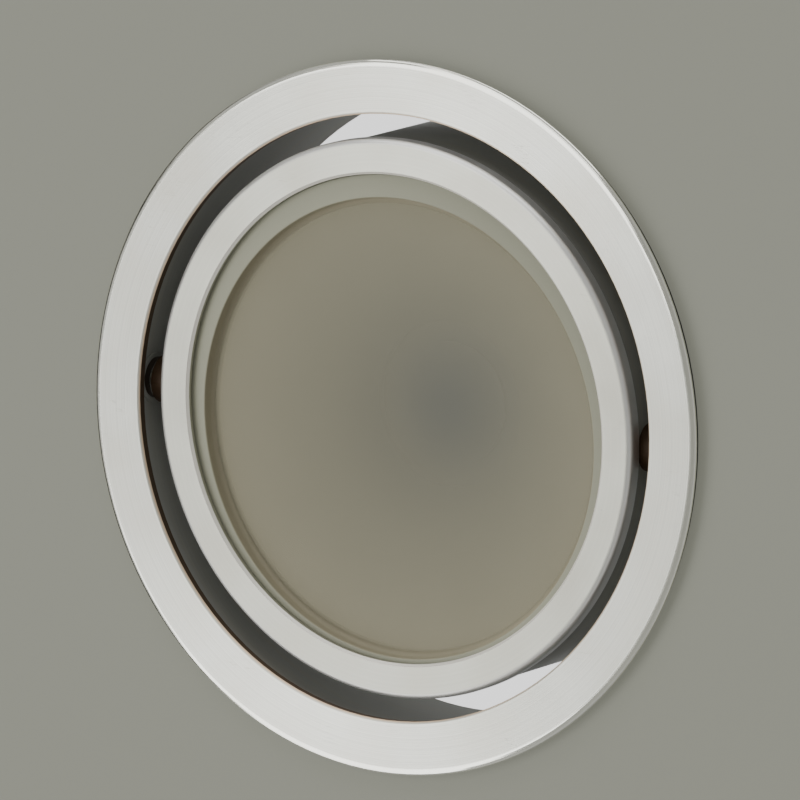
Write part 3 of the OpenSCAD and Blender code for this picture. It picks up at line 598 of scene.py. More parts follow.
def turned_metal(name, colour, head, face, pitch, line_tone, depth, marks, rough, polish, anisotropy):
    """Turned aluminium: grooves on the flat face, ring-by-ring tone, hair scratches and specks

    head is the group of sizes if the piece tilts with the head, or None; then one side of the face
    is painted paler, a painted highlight. face is the inner and outer radius of the flat face;
    pitch and depth are those of the grooves, in mm.
    Returns its tree, shader, place round the axis and base colour.
    """
    tree, shader = finish_of(name)
    place = place_mm(tree, head)
    axis = block(tree, "axis", Place=place)
    radius = axis["Radius"]
    grooves = block(tree, "grooves", Radius=radius, Pitch=pitch)
    wear = block(tree, "marks", Point=place)
    scratches = wear["Scratches"]
    inner, outer = face
    inside = span(tree, radius, outer - 0.4, outer + 0.1, 1.0, 0.0)
    flat = times(tree, span(tree, radius, inner, inner + 0.3), inside)
    tone = span(tree, grooves["Tone"], 0.3, 0.7)
    dark, pale = 0.95, 1.04
    if head:
        # painted highlight: one side of the head ring's face is painted paler, adding to the bright fans that
        # its real reflection draws there
        side = number(tree, "MULTIPLY_ADD", side_of(tree, axis, 285), 0.32, 0.32)
        tone = number(tree, "MULTIPLY_ADD", tone, 0.36, side)
        dark, pale = 0.9, 1.15
    base = blend_colour(tree, tone, shade(colour, dark), shade(colour, pale))
    lines = times(tree, number(tree, "SUBTRACT", 1.0, grooves["Height"]), flat)
    base = blend_colour(tree, times(tree, lines, line_tone), base, shade(colour, 0.4))
    patches = wear["Patches"]
    worn = span(tree, patches, 0.45, 0.75, 0.0, 0.5)
    base = blend_colour(tree, worn, base, tinted(colour, (1.03, 0.99, 0.95)))
    base = blend_colour(tree, times(tree, scratches, 0.35 * marks), base, shade(colour, 0.55))
    base = blend_colour(tree, times(tree, wear["Specks"], 0.5 * marks), base, shade(colour, 0.35))
    satin = span(tree, patches, 0.3, 0.7, rough - 0.03, rough + 0.04)
    smoother = times(tree, span(tree, radius, outer - 0.15, outer + 0.1), polish)
    feed_all(
        tree, shader,
        Base_Color=base, Roughness=number(tree, "SUBTRACT", satin, smoother), Metallic=1.0,
        Anisotropic=anisotropy, Anisotropic_Rotation=0.25,
        Tangent=add(tree, "ShaderNodeTangent", direction_type="RADIAL", axis="Z").outputs[0],
    )
    cut = number(tree, "SUBTRACT", grooves["Height"], times(tree, scratches, 1.5))
    bump(tree, shader, times(tree, cut, flat), 1.0, depth)
    return tree, shader, axis, base


def turned_trim(colours, sizes):
    """The trim ring: bright grooved face, polished rolled edge, a warm painted highlight at the bore edge and
    painted dark shade on the bore wall
    """
    inner, outer = 46.95, 54.0
    tree, shader, axis, base = turned_metal(
        "Turned Trim", colours.trim, None, (inner, outer), sizes.groove_pitch * MM_PER_METRE,
        line_tone=0.16, depth=0.012, marks=0.25, rough=0.5, polish=0.4, anisotropy=0.75,
    )
    # painted highlight: a warm line painted round the edge of the bore
    bore = span(tree, axis["Radius"], inner - 0.25, inner, 1.0, 0.0)
    base = blend_colour(tree, times(tree, bore, 0.75), base, colours.bore_highlight)
    # painted shade: the bore wall below the face is painted dark brown
    wall = times(tree, bore, span(tree, axis["Height"], -1.95, -1.85))
    base = blend_colour(tree, times(tree, wall, 0.9), base, shade(colours.bronze, 0.8))
    feed_all(tree, shader, Base_Color=base)


def satin_head_ring(colours, sizes):
    """The head ring: satin face, a rolled edge painted paler to brighten its highlight, and a painted highlight
    on the lip at the diffuser
    """
    inner, outer = 38.4, 42.3
    tree, shader, axis, base = turned_metal(
        "Satin Head Ring", colours.head, sizes, (inner, outer), 0.16,
        line_tone=0.05, depth=0.004, marks=0.6, rough=0.36, polish=0.0, anisotropy=0.6,
    )
    radius = axis["Radius"]
    near_bore = span(tree, radius, inner - 0.2, inner - 0.1, 1.0, 0.0)
    lip = times(tree, near_bore, span(tree, axis["Height"], -1.42, -1.34, 1.0, 0.0))
    # painted highlight: the rolled edge is painted paler, which brightens the real reflection it catches
    base = blend_colour(tree, span(tree, radius, outer + 0.1, outer + 0.6), base, (0.9, 0.9, 0.9))
    # painted highlight: the lip chamfer is painted pale and made less metallic, so it shows a bright line all
    # round
    base = blend_colour(tree, lip, base, (0.95, 0.92, 0.85))
    metal = number(tree, "SUBTRACT", 1.0, times(tree, lip, 0.75))
    feed_all(tree, shader, Base_Color=base, Metallic=metal)


def dark_enamel(name, colour, head=None, black_from=None):
    """Semi-gloss enamel on a drawn wall: faint streaks, a browner haze, black outside a radius in mm"""
    tree, shader = finish_of(name)
    place = place_mm(tree, head)
    axis = block(tree, "axis", Place=place)
    streaks = block(tree, "streaks", Angle=axis["Angle"], Height=axis["Height"], Radius=axis["Radius"])
    grain = block(tree, "grain", Point=place, Size=0.35)
    base = two_tones(tree, streaks["Streaks"], 0.35, 0.7, colour, 0.95, 1.05)
    haze = span(tree, streaks["Haze"], 0.5, 0.75, 0.0, 0.5)
    base = blend_colour(tree, haze, base, tinted(colour, (1.1, 1.0, 0.85)))
    if black_from:
        outside = span(tree, axis["Radius"], black_from - 0.1, black_from + 0.1)
        base = blend_colour(tree, outside, base, shade(colour, 0.16))
    rough = span(tree, streaks["Streaks"], 0.3, 0.7, 0.5, 0.6)
    feed_all(tree, shader, Base_Color=base, Roughness=rough, Specular_IOR_Level=0.3)
    bump(tree, shader, grain["Height"], 0.25, 0.02)


def plated_steel(name, colour, rough, size):
    """Stamped or drawn steel under zinc: slow spangle, fine scratches, dust on what looks up"""
    tree, shader = finish_of(name)
    point = place_mm(tree)
    scratches = block(tree, "marks", Point=point)["Scratches"]
    grain = block(tree, "grain", Point=point, Size=size)
    dust = block(tree, "dust", Point=point, Amount=0.35)["Dust"]
    mottle = grain["Mottle"]
    base = two_tones(tree, mottle, 0.35, 0.65, colour, 0.85, 1.1)
    base = blend_colour(tree, times(tree, scratches, 0.5), base, shade(colour, 0.55))
    base = blend_colour(tree, dust, base, DUST)
    clean = span(tree, mottle, 0.3, 0.7, rough - 0.05, rough + 0.07)
    feed_all(
        tree, shader,
        Base_Color=base, Roughness=number(tree, "ADD", clean, times(tree, dust, 0.4)),
        Metallic=span(tree, dust, 0.0, 0.6, 1.0, 0.3),
    )
    bump(tree, shader, grain["Height"], 0.3, 0.02)


def moulded(name, colour, rough, size, depth, dust_amount, sheen, gloss):
    """Moulded plastic or rubber: skin grain, slight mottle, dust on what looks up"""
    tree, shader = finish_of(name)
    point = place_mm(tree)
    grain = block(tree, "grain", Point=point, Size=size)
    base = two_tones(tree, grain["Mottle"], 0.35, 0.65, colour, 0.93, 1.05)
    roughness = span(tree, grain["Mottle"], 0.3, 0.7, rough - 0.04, rough + 0.06)
    if dust_amount:
        dust = block(tree, "dust", Point=point, Amount=dust_amount)["Dust"]
        base = blend_colour(tree, dust, base, DUST)
        roughness = number(tree, "ADD", roughness, times(tree, dust, 0.3))
    feed_all(
        tree, shader,
        Base_Color=base, Roughness=roughness, Sheen_Weight=sheen, Specular_IOR_Level=gloss,
    )
    bump(tree, shader, grain["Height"], 0.5, depth)


def cast_metal(name, colour):
    """Blasted die casting: fine pits, flow mottle, dust between the fins"""
    tree, shader = finish_of(name)
    point = place_mm(tree)
    grain = block(tree, "grain", Point=point, Size=0.45)
    dust = block(tree, "dust", Point=point, Amount=0.6)["Dust"]
    mottle = grain["Mottle"]
    feed_all(
        tree, shader,
        Base_Color=blend_colour(tree, dust, two_tones(tree, mottle, 0.3, 0.7, colour, 0.8, 1.12), DUST),
        Roughness=span(tree, mottle, 0.3, 0.7, 0.42, 0.58),
        Metallic=span(tree, dust, 0.0, 0.6, 0.9, 0.2),
    )
    bump(tree, shader, grain["Height"], 0.6, 0.06)


def frosted_disc(name, colours, sizes):
    """Frosted diffuser: pale solid rim, tan groove, and a middle that lets the chamber show softly"""
    tree, shader = finish_of(name)
    place = place_mm(tree, sizes, sizes.diffuser_offset)
    axis = block(tree, "axis", Place=place)
    radius = axis["Radius"]
    mottle = block(tree, "grain", Point=place, Size=0.25)["Mottle"]
    middle = two_tones(tree, radius, 6.0, 34.5, colours.diffuser, 0.93, 1.17)
    clouds = span(tree, mottle, 0.35, 0.65, 0.0, 0.25)
    middle = blend_colour(tree, clouds, middle, shade(colours.diffuser, 0.95))
    # painted shade: the rim is painted duller on one side, as if in the shadow of the head ring's lip
    lip_shade = span(tree, side_of(tree, axis, 330), 0.3, 1.0)
    rim = blend_colour(tree, lip_shade, colours.diffuser_rim, shade(colours.diffuser_rim, 0.84))
    base = blend_colour(tree, span(tree, radius, 35.6, 35.8), middle, rim)
    groove = times(tree, span(tree, radius, 34.5, 35.1), span(tree, radius, 35.6, 35.85, 1.0, 0.0))
    base = blend_colour(tree, times(tree, groove, 0.75), base, (0.37, 0.335, 0.24))
    feed_all(
        tree, shader,
        Base_Color=base, Alpha=span(tree, radius, 34.6, 35.6, 0.54, 1.0),
        Roughness=0.65, Specular_IOR_Level=0.25,
    )
    bump(tree, shader, mottle, 0.05, 0.1)


def glowing_chamber_skin(name, colours, sizes, rough):
    """Anything inside the light chamber: it takes one soft tone from its distance to the axis, and gives that
    tone off as a painted glow
    """
    tree, shader = finish_of(name)
    place = place_mm(tree, sizes)
    radius = block(tree, "axis", Place=place)["Radius"]
    chamber = block(tree, "chamber", Radius=radius, Middle=colours.emitter, Outside=colours.chamber)
    tone = chamber["Color"]
    mottle = block(tree, "grain", Point=place, Size=0.4)["Mottle"]
    roughness = span(tree, mottle, 0.3, 0.7, rough - 0.05, rough + 0.05)
    # painted glow: the tone is also given off as light, though these parts have no light of their own
    feed_all(
        tree, shader,
        Base_Color=tone, Emission_Color=tone, Emission_Strength=0.7, Roughness=roughness,
    )


def dress(node, finish):
    """Gives a CAD node its finish"""
    slots = NODES[node].data.materials
    if not slots:
        slots.append(FINISHES[finish])
    for place in range(len(slots)):
        slots[place] = FINISHES[finish]


DRESSED = {
    "Turned Trim": ("trim_ring",),
    "Collar Enamel": ("collar",),
    "Foam Seal": ("flange_gasket",),
    "Oiled Pivot Steel": ("pivot_screws",),
    "Oiled Bronze": ("pivot_bushes",),
    "Bright Steel": ("wave_washers", "bracket_rivets", "clip_pins", "sink_screws", "case_screws"),
    "Zinc Plate": ("clip_bracket_a", "clip_bracket_b", "clip_lever_a", "clip_lever_b"),
    "Spring Wire": ("clip_spring_a", "clip_spring_b"),
    "Pad Rubber": ("clip_pad_a", "clip_pad_b"),
    "Satin Head Ring": ("head_ring",),
    "Can Enamel": ("head_can",),
    "Frosted Diffuser": ("diffuser",),
    "White Silicone": ("diffuser_gasket",),
    "White Reflector": ("reflector",),
    "Emitter Dome": ("led_emitter",),
    "Chamber White": ("led_board", "led_holder", "led_screws"),
    "Thermal Pad": ("thermal_pad",),
    "Cast Aluminium": ("heat_sink",),
    "Housing Plastic": ("driver_case", "driver_lid"),
    "Board Mask": ("driver_board",),
    "Black Nylon": ("gland_body", "gland_nut"),
    "Gland Rubber": ("gland_seal",),
}


class DOWNLIGHT_OT_finishes(Operator):
    """Builds the shared shader groups and finishes, and dresses every CAD node"""

    bl_idname = "downlight.finishes"
    bl_label = "Finishes"

    def execute(self, context):
        sizes = context.scene.downlight_sizes
        colours = context.scene.downlight_finishes
        BLOCKS.update(
            axis=round_the_axis(),
            grooves=turned_grooves(),
            marks=handling_marks(),
            grain=fine_grain(),
            streaks=drawn_streaks(),
            dust=settled_dust(),
            chamber=light_chamber_tone(),
        )
        turned_trim(colours, sizes)
        satin_head_ring(colours, sizes)
        dark_enamel("Collar Enamel", colours.enamel, black_from=49.3)
        dark_enamel("Can Enamel", shade(colours.enamel, 0.95), sizes)
        frosted_disc("Frosted Diffuser", colours, sizes)
        cast_metal("Cast Aluminium", colours.casting)
        for name, rough in (("White Reflector", 0.45), ("Emitter Dome", 0.35), ("Chamber White", 0.5)):
            glowing_chamber_skin(name, colours, sizes, rough)
        # colour, roughness, size of the grain in mm
        for name, colour, rough, size in (
            ("Bright Steel", (0.6, 0.6, 0.6), 0.22, 0.3),
            ("Zinc Plate", colours.zinc, 0.34, 0.8),
            ("Spring Wire", (0.42, 0.42, 0.43), 0.26, 0.25),
        ):
            plated_steel(name, colour, rough, size)
        # colour, roughness, size and depth of the grain in mm, dust, sheen, gloss
        for name, colour, rough, size, depth, dust, sheen, gloss in (
            ("Foam Seal", (0.03, 0.03, 0.03), 0.85, 0.5, 0.12, 0.0, 0.0, 0.5),
            ("Oiled Pivot Steel", (0.045, 0.035, 0.028), 0.45, 0.3, 0.01, 0.0, 0.0, 0.2),
            ("Oiled Bronze", colours.bronze, 0.5, 0.4, 0.02, 0.0, 0.0, 0.15),
            ("Pad Rubber", (0.028, 0.028, 0.03), 0.7, 0.3, 0.03, 0.3, 0.1, 0.5),
            ("White Silicone", (0.66, 0.66, 0.62), 0.5, 0.4, 0.01, 0.0, 0.0, 0.5),
            ("Thermal Pad", (0.25, 0.3, 0.36), 0.75, 0.5, 0.03, 0.0, 0.0, 0.5),
            ("Housing Plastic", colours.housing, 0.48, 0.35, 0.03, 0.45, 0.0, 0.5),
            ("Board Mask", (0.03, 0.12, 0.05), 0.35, 0.6, 0.01, 0.0, 0.0, 0.5),
            ("Black Nylon", colours.nylon, 0.42, 0.3, 0.03, 0.4, 0.0, 0.5),
            ("Gland Rubber", (0.05, 0.05, 0.05), 0.7, 0.3, 0.03, 0.2, 0.0, 0.5),
        ):
            moulded(name, colour, rough, size, depth, dust, sheen, gloss)
        for finish, nodes in DRESSED.items():
            for node in nodes:
                dress(node, finish)
        return {"FINISHED"}


# ---------------------------------------------------------------- geometry building blocks


def geometry_tree(name, inputs):
    """An empty geometry tree with its named inputs, as (tree, what is given to it, what it gives out)"""
    tree = bpy.data.node_groups.new(name, "GeometryNodeTree")
    for label, kind, default in inputs + [("Finish", "NodeSocketMaterial", None)]:
        socket = tree.interface.new_socket(name=label, in_out="INPUT", socket_type=kind)
        if default is not None:
            socket.default_value = default
    tree.interface.new_socket(name="Geometry", in_out="OUTPUT", socket_type="NodeSocketGeometry")
    return tree, add(tree, "NodeGroupInput").outputs, add(tree, "NodeGroupOutput").inputs


def step(tree, kind, geometry, settings=None, **inputs):
    """A geometry node fed with geometry, its other inputs given by name as values or sockets"""
    made = add(tree, kind, **(settings or {}))
    if geometry:
        wire(tree, geometry, made.inputs[0])
    feed_all(tree, made, **inputs)
    return made.outputs[0]


def joined(tree, *parts):
    """Several geometries as one"""
    made = add(tree, "GeometryNodeJoinGeometry")
    for part in parts:
        wire(tree, part, made.inputs[0])
    return made.outputs[0]


def vector_of(tree, x=0.0, y=0.0, z=0.0):
    """A vector of three numbers or sockets"""
    made = add(tree, "ShaderNodeCombineXYZ")
    for target, value in zip(made.inputs, (x, y, z)):
        feed(tree, value, target)
    return made.outputs[0]


def zero_to_one(tree, value):
    """A value held between 0 and 1"""
    return number(tree, "MINIMUM", number(tree, "MAXIMUM", value, 0.0), 1.0)


def tilt_with_head(tree, geometry, tilt, pivot):
    """Turns geometry about the pivot axis as the head stands"""
    to_pivot = vector_of(tree, z=times(tree, pivot, -1.0))
    down = step(tree, "GeometryNodeTransform", geometry, Translation=to_pivot)
    turned = step(tree, "GeometryNodeTransform", down, Rotation=vector_of(tree, x=tilt))
    return step(tree, "GeometryNodeTransform", turned, Translation=vector_of(tree, z=pivot))


def close_tree(tree, geometry, given, result, smooth):
    """Realises, shades and paints the geometry, and hands it out"""
    real = step(tree, "GeometryNodeRealizeInstances", geometry)
    shaded = step(tree, "GeometryNodeSetShadeSmooth", real, Shade_Smooth=smooth)
    painted = step(tree, "GeometryNodeSetMaterial", shaded, Material=given["Finish"])
    wire(tree, painted, result[0])


def grown(name, tree, finish, outline=None, **values):
    """Runs a geometry tree with its inputs set, and keeps what it makes as a plain closed mesh"""
    start = bpy.data.meshes.new(name + "_carrier")
    if outline:
        start.from_pydata(outline[0], outline[1], [])
    carrier = in_scene(name + "_carrier", start)
    modifier = carrier.modifiers.new("Form", "NODES")
    modifier.node_group = tree
    sockets = {item.name: item.identifier for item in tree.interface.items_tree if item.in_out == "INPUT"}
    for key, value in values.items():
        modifier[sockets[key.replace("_", " ")]] = value
    modifier[sockets["Finish"]] = FINISHES[finish]
    graph = bpy.context.evaluated_depsgraph_get()
    mesh = bpy.data.meshes.new_from_object(carrier.evaluated_get(graph))
    bpy.data.objects.remove(carrier)
    if not mesh.polygons:
        raise RuntimeError(name + " came out empty")
    return closed_piece(name, mesh)


def in_scene(name, data):
    """A new object of the scene, for a mesh, a light or a camera"""
    made = bpy.data.objects.new(name, data)
    bpy.context.scene.collection.objects.link(made)
    return made


def closed_piece(name, mesh):
    """Puts a mesh in the scene with its faces pointing outwards"""
    shape = bmesh.new()
    shape.from_mesh(mesh)
    bmesh.ops.recalc_face_normals(shape, faces=shape.faces)
    shape.to_mesh(mesh)
    shape.free()
    mesh.name = name
    return in_scene(name, mesh)


# ---------------------------------------------------------------- turned pieces


def turned_form():
    """A lathe: turns a half outline, given as radius and height, round the axis of the fixture"""
    tree, given, result = geometry_tree(
        "Turned Form",
        [
            ("Outline", "NodeSocketGeometry", None),
            ("Path Radius", "NodeSocketFloat", 43.3 * MM),
            ("Segments", "NodeSocketInt", 360),
            ("Sharp Angle", "NodeSocketFloat", math.radians(35)),
            ("Shift", "NodeSocketFloat", 0.0),
            ("Tilt", "NodeSocketFloat", 0.0),
            ("Pivot", "NodeSocketFloat", 0.0),
        ],
    )
    outline = step(tree, "GeometryNodeMeshToCurve", given["Outline"])
    path = step(
        tree, "GeometryNodeCurvePrimitiveCircle", None,
        Resolution=given["Segments"], Radius=given["Path Radius"],
    )
    skin = step(tree, "GeometryNodeCurveToMesh", path, Profile_Curve=outline)
    whole = step(tree, "GeometryNodeMergeByDistance", skin, Distance=0.001 * MM)
    placed = step(tree, "GeometryNodeTransform", whole, Translation=vector_of(tree, y=given["Shift"]))
    tilted = tilt_with_head(tree, placed, given["Tilt"], given["Pivot"])
    real = step(tree, "GeometryNodeRealizeInstances", tilted)
    smooth = step(tree, "GeometryNodeSetShadeSmooth", real, Shade_Smooth=True)
    angle = add(tree, "GeometryNodeInputMeshEdgeAngle").outputs[0]
    sharp = number(tree, "GREATER_THAN", angle, given["Sharp Angle"])
    crisp = step(
        tree, "GeometryNodeSetShadeSmooth", smooth, {"domain": "EDGE"}, Selection=sharp, Shade_Smooth=False
    )
    painted = step(tree, "GeometryNodeSetMaterial", crisp, Material=given["Finish"])
    wire(tree, painted, result[0])
    return tree


def quarter(centre, radius, first, last, count=12):
    """Points of an arc in an outline, from one angle in degrees to another"""
    turns = (math.radians(first + (last - first) * place / count) for place in range(count + 1))
    return [(centre[0] + radius * math.cos(turn), centre[1] + radius * math.sin(turn)) for turn in turns]


def head_ring_outline(sizes):
    """The head ring in mm: lip chamfer, satin face, rolled edge, tongue into the can, diffuser seat"""
    bore, outside, seat_edge = 37.85, 43.3, 41.2
    face, back, seat = -1.8, 0.6, -0.8
    tongue_inside, tongue_outside, tongue_height = 41.7, 42.3, 0.8
    land = 0.1  # a narrow band beside each edge, so that the flat face shades flat
    chamfer, rolled = sizes.lip_chamfer * MM_PER_METRE, sizes.head_round * MM_PER_METRE
    return [
        (bore, face + chamfer),
        (bore + chamfer, face),
        (bore + chamfer + land, face),
        (outside - rolled - land, face),
        *quarter((outside - rolled, face + rolled), rolled, -90, 0),
        (outside, back),
        (tongue_outside, back),
        (tongue_outside, back + tongue_height),
        (tongue_inside, back + tongue_height),
        (tongue_inside, back),
        (seat_edge, back),
        (seat_edge, seat),
        (bore, seat),
    ]


def diffuser_outline(sizes):
    """The diffuser in mm, from the middle of its face round its rim to the middle of its back"""
    rim, front, back, lap = -0.35, 1.2, 2.4, 0.85
    step_edge, edge, edge_chamfer, inside = 35.62, 39.5, 0.3, 35.8
    step_round = sizes.step_round * MM_PER_METRE
    return [
        (0.0, front),
        (12.0, front),
        (24.0, front),
        (34.5, front),
        # the narrow groove at the foot of the step
        (34.6, front),
        (34.8, 1.3),
        (35.0, 1.34),
        (35.25, 1.28),
        (35.45, 1.12),
        (35.58, 0.8),
        (step_edge, rim + step_round),
        *quarter((step_edge + step_round, rim + step_round), step_round, 180, 270, 8),
        (37.5, rim),
        (edge - edge_chamfer, rim),
        (edge, rim + edge_chamfer),
        (edge, lap),
        (36.15, lap),
        (inside, front),
        (inside, back),
        (20.0, back),
        (0.0, back),
    ]


class DOWNLIGHT_OT_turned(Operator):
    """Turns the head ring and the diffuser, the two round pieces that are seen closest"""

    bl_idname = "downlight.turned"
    bl_label = "Head Ring and Diffuser"

    def execute(self, context):
        sizes = context.scene.downlight_sizes
        lathe = turned_form()
        for name, node, slot, finish, outline, closed, shift in (
            (
                "turned_head_ring", "head_ring", "head_metal", "Satin Head Ring",
                head_ring_outline(sizes), True, 0.0,
            ),
            (
                "frosted_lens", "diffuser", "frosted_diffuser", "Frosted Diffuser",
                diffuser_outline(sizes), False, sizes.diffuser_offset,
            ),
        ):
            reach = max(radius for radius, height in outline)
            points = [((radius - reach) * MM, -height * MM, 0.0) for radius, height in outline]
            edges = [(place, place + 1) for place in range(len(points) - 1)]
            if closed:
                edges.append((len(points) - 1, 0))
            piece = grown(
                name, lathe, finish, (points, edges),
                Path_Radius=reach * MM, Segments=360, Sharp_Angle=math.radians(35),
                Shift=shift, Tilt=sizes.head_tilt, Pivot=sizes.pivot_height,
            )
            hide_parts(node)
            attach(piece, "head")
        return {"FINISHED"}


# ---------------------------------------------------------------- clip springs


def wound_wire():
    """A torsion spring: a leg, a coil along Y and a second leg, all of one round wire"""
    tree, given, result = geometry_tree(
        "Wound Wire",
        [
            ("Steps", "NodeSocketInt", 120),
            ("Coil Radius", "NodeSocketFloat", 2.1 * MM),
            ("Coil Width", "NodeSocketFloat", 6.0 * MM),
            ("Wire Radius", "NodeSocketFloat", 0.5 * MM),
            ("First Angle", "NodeSocketFloat", 0.0),
            ("Sweep", "NodeSocketFloat", 6.28),
            ("First Leg", "NodeSocketFloat", 10.0 * MM),
            ("Last Leg", "NodeSocketFloat", 10.0 * MM),
            ("Place", "NodeSocketVector", None),
            ("Turn", "NodeSocketFloat", 0.0),
        ],
    )
    steps = given["Steps"]
    line = step(tree, "GeometryNodeMeshLine", None, Count=number(tree, "ADD", steps, 3.0))
    index = add(tree, "GeometryNodeInputIndex").outputs[0]
    share = zero_to_one(tree, number(tree, "DIVIDE", number(tree, "SUBTRACT", index, 1.0), steps))
    angle = number(tree, "SUBTRACT", given["First Angle"], times(tree, share, given["Sweep"]))
    sine = number(tree, "SINE", angle)
    cosine = number(tree, "COSINE", angle)
    first = number(tree, "LESS_THAN", index, 0.5)
    last = number(tree, "GREATER_THAN", index, number(tree, "ADD", steps, 1.5))
    first_leg = times(tree, first, given["First Leg"])
    reach = number(tree, "SUBTRACT", first_leg, times(tree, last, given["Last Leg"]))
    radius = given["Coil Radius"]
    x = number(tree, "SUBTRACT", times(tree, radius, cosine), times(tree, reach, sine))
    z = number(tree, "ADD", times(tree, radius, sine), times(tree, reach, cosine))
    y = times(tree, number(tree, "SUBTRACT", share, 0.5), given["Coil Width"])
    placed = step(tree, "GeometryNodeSetPosition", line, Position=vector_of(tree, x, y, z))
    curve = step(tree, "GeometryNodeMeshToCurve", placed)
    wire_radius = given["Wire Radius"]
    round_wire = step(tree, "GeometryNodeCurvePrimitiveCircle", None, Resolution=12, Radius=wire_radius)
    tube = step(tree, "GeometryNodeCurveToMesh", curve, Profile_Curve=round_wire, Fill_Caps=True)
    turn = vector_of(tree, z=given["Turn"])
    moved = step(tree, "GeometryNodeTransform", tube, Translation=given["Place"], Rotation=turn)
    close_tree(tree, moved, given, result, True)
    return tree


class DOWNLIGHT_OT_springs(Operator):
    """Winds the two torsion springs of the clips from smooth round wire"""

    bl_idname = "downlight.springs"
    bl_label = "Clip Springs"

    def execute(self, context):
        sizes = context.scene.downlight_sizes
        tree = wound_wire()
        first = math.radians(196)
        sweep = 2 * math.pi * sizes.spring_turns + first - (math.pi / 2 - sizes.lever_droop)
        width = sizes.coil_pitch * sweep / (2 * math.pi)
        for side, letter in ((1, "a"), (-1, "b")):
            pin = Vector((side * sizes.clip_x, 0.0, sizes.clip_z))
            spring = grown(
                "torsion_spring_" + letter, tree, "Spring Wire",
                Steps=30 * sizes.spring_turns, Coil_Radius=sizes.coil_radius, Coil_Width=width,
                Wire_Radius=sizes.wire_radius, First_Angle=first, Sweep=sweep,
                First_Leg=sizes.bracket_leg, Last_Leg=sizes.lever_leg,
                Place=pin, Turn=0.0 if side > 0 else math.pi,
            )
            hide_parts("clip_spring_" + letter)
            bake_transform(spring)
        return {"FINISHED"}


# ---------------------------------------------------------------- small fittings


def ring_of_marks():
    """Ejector marks of a mould or die: low stepped discs on a circle round the head's axis"""
    tree, given, result = geometry_tree(
        "Ring of Marks",
        [
            ("Count", "NodeSocketInt", 12),
            ("Ring Radius", "NodeSocketFloat", 30.0 * MM),
            ("First Angle", "NodeSocketFloat", 0.0),
            ("Mark Radius", "NodeSocketFloat", 1.5 * MM),
            ("Mark Height", "NodeSocketFloat", 0.15 * MM),
            ("Level", "NodeSocketFloat", 0.0),
            ("Tilt", "NodeSocketFloat", 0.0),
            ("Pivot", "NodeSocketFloat", 0.0),
        ],
    )
    count, ring_radius = given["Count"], given["Ring Radius"]
    ring = step(tree, "GeometryNodeMeshCircle", None, Vertices=count, Radius=ring_radius)
    height, wide = given["Mark Height"], given["Mark Radius"]
    foot = step(tree, "GeometryNodeMeshCylinder", None, Vertices=24, Radius=wide, Depth=height)
    top = step(
        tree, "GeometryNodeMeshCylinder", None,
        Vertices=24, Radius=times(tree, wide, 0.72), Depth=times(tree, height, 1.8),
    )
    marks = step(tree, "GeometryNodeInstanceOnPoints", ring, Instance=joined(tree, foot, top))
    level = vector_of(tree, z=given["Level"])
    turn = vector_of(tree, z=given["First Angle"])
    turned = step(tree, "GeometryNodeTransform", marks, Translation=level, Rotation=turn)
    tilted = tilt_with_head(tree, turned, given["Tilt"], given["Pivot"])
    close_tree(tree, tilted, given, result, False)
    return tree


def grip_ribs():
    """Rows of half-round ribs on the flats of a hexagonal nut"""
    tree, given, result = geometry_tree(
        "Grip Ribs",
        [
            ("Flats", "NodeSocketInt", 6),
            ("Ribs", "NodeSocketInt", 5),
            ("Flat Radius", "NodeSocketFloat", 8.5 * MM),
            ("Spacing", "NodeSocketFloat", 1.3 * MM),
            ("Rib Radius", "NodeSocketFloat", 0.3 * MM),
            ("Rib Length", "NodeSocketFloat", 4.0 * MM),
            ("Level", "NodeSocketFloat", 0.0),
            ("Tilt", "NodeSocketFloat", 0.0),
            ("Pivot", "NodeSocketFloat", 0.0),
        ],
    )
    spacing, ribs = given["Spacing"], given["Ribs"]
    half_row = times(tree, times(tree, number(tree, "SUBTRACT", ribs, 1.0), spacing), -0.5)
    corner = vector_of(tree, given["Flat Radius"], half_row, given["Level"])
    row = step(
        tree, "GeometryNodeMeshLine", None, Count=ribs, Start_Location=corner, Offset=vector_of(tree, y=spacing)
    )
    rib_radius, rib_length = given["Rib Radius"], given["Rib Length"]
    body = step(tree, "GeometryNodeMeshCylinder", None, Vertices=12, Radius=rib_radius, Depth=rib_length)
    end = step(tree, "GeometryNodeMeshUVSphere", None, Segments=12, Rings=6, Radius=rib_radius)
    ends = []
    for way in (0.5, -0.5):
        reach = vector_of(tree, z=times(tree, rib_length, way))
        ends.append(step(tree, "GeometryNodeTransform", end, Translation=reach))
    one_flat = step(tree, "GeometryNodeInstanceOnPoints", row, Instance=joined(tree, body, *ends))
    flats = given["Flats"]
    centre = step(tree, "GeometryNodePoints", None, Count=flats)
    index = add(tree, "GeometryNodeInputIndex").outputs[0]
    part = number(tree, "DIVIDE", 2 * math.pi, flats)
    turn = vector_of(tree, z=times(tree, number(tree, "ADD", index, 0.5), part))
    every_flat = step(tree, "GeometryNodeInstanceOnPoints", centre, Instance=one_flat, Rotation=turn)
    tilted = tilt_with_head(tree, every_flat, given["Tilt"], given["Pivot"])
    close_tree(tree, tilted, given, result, True)
    return tree


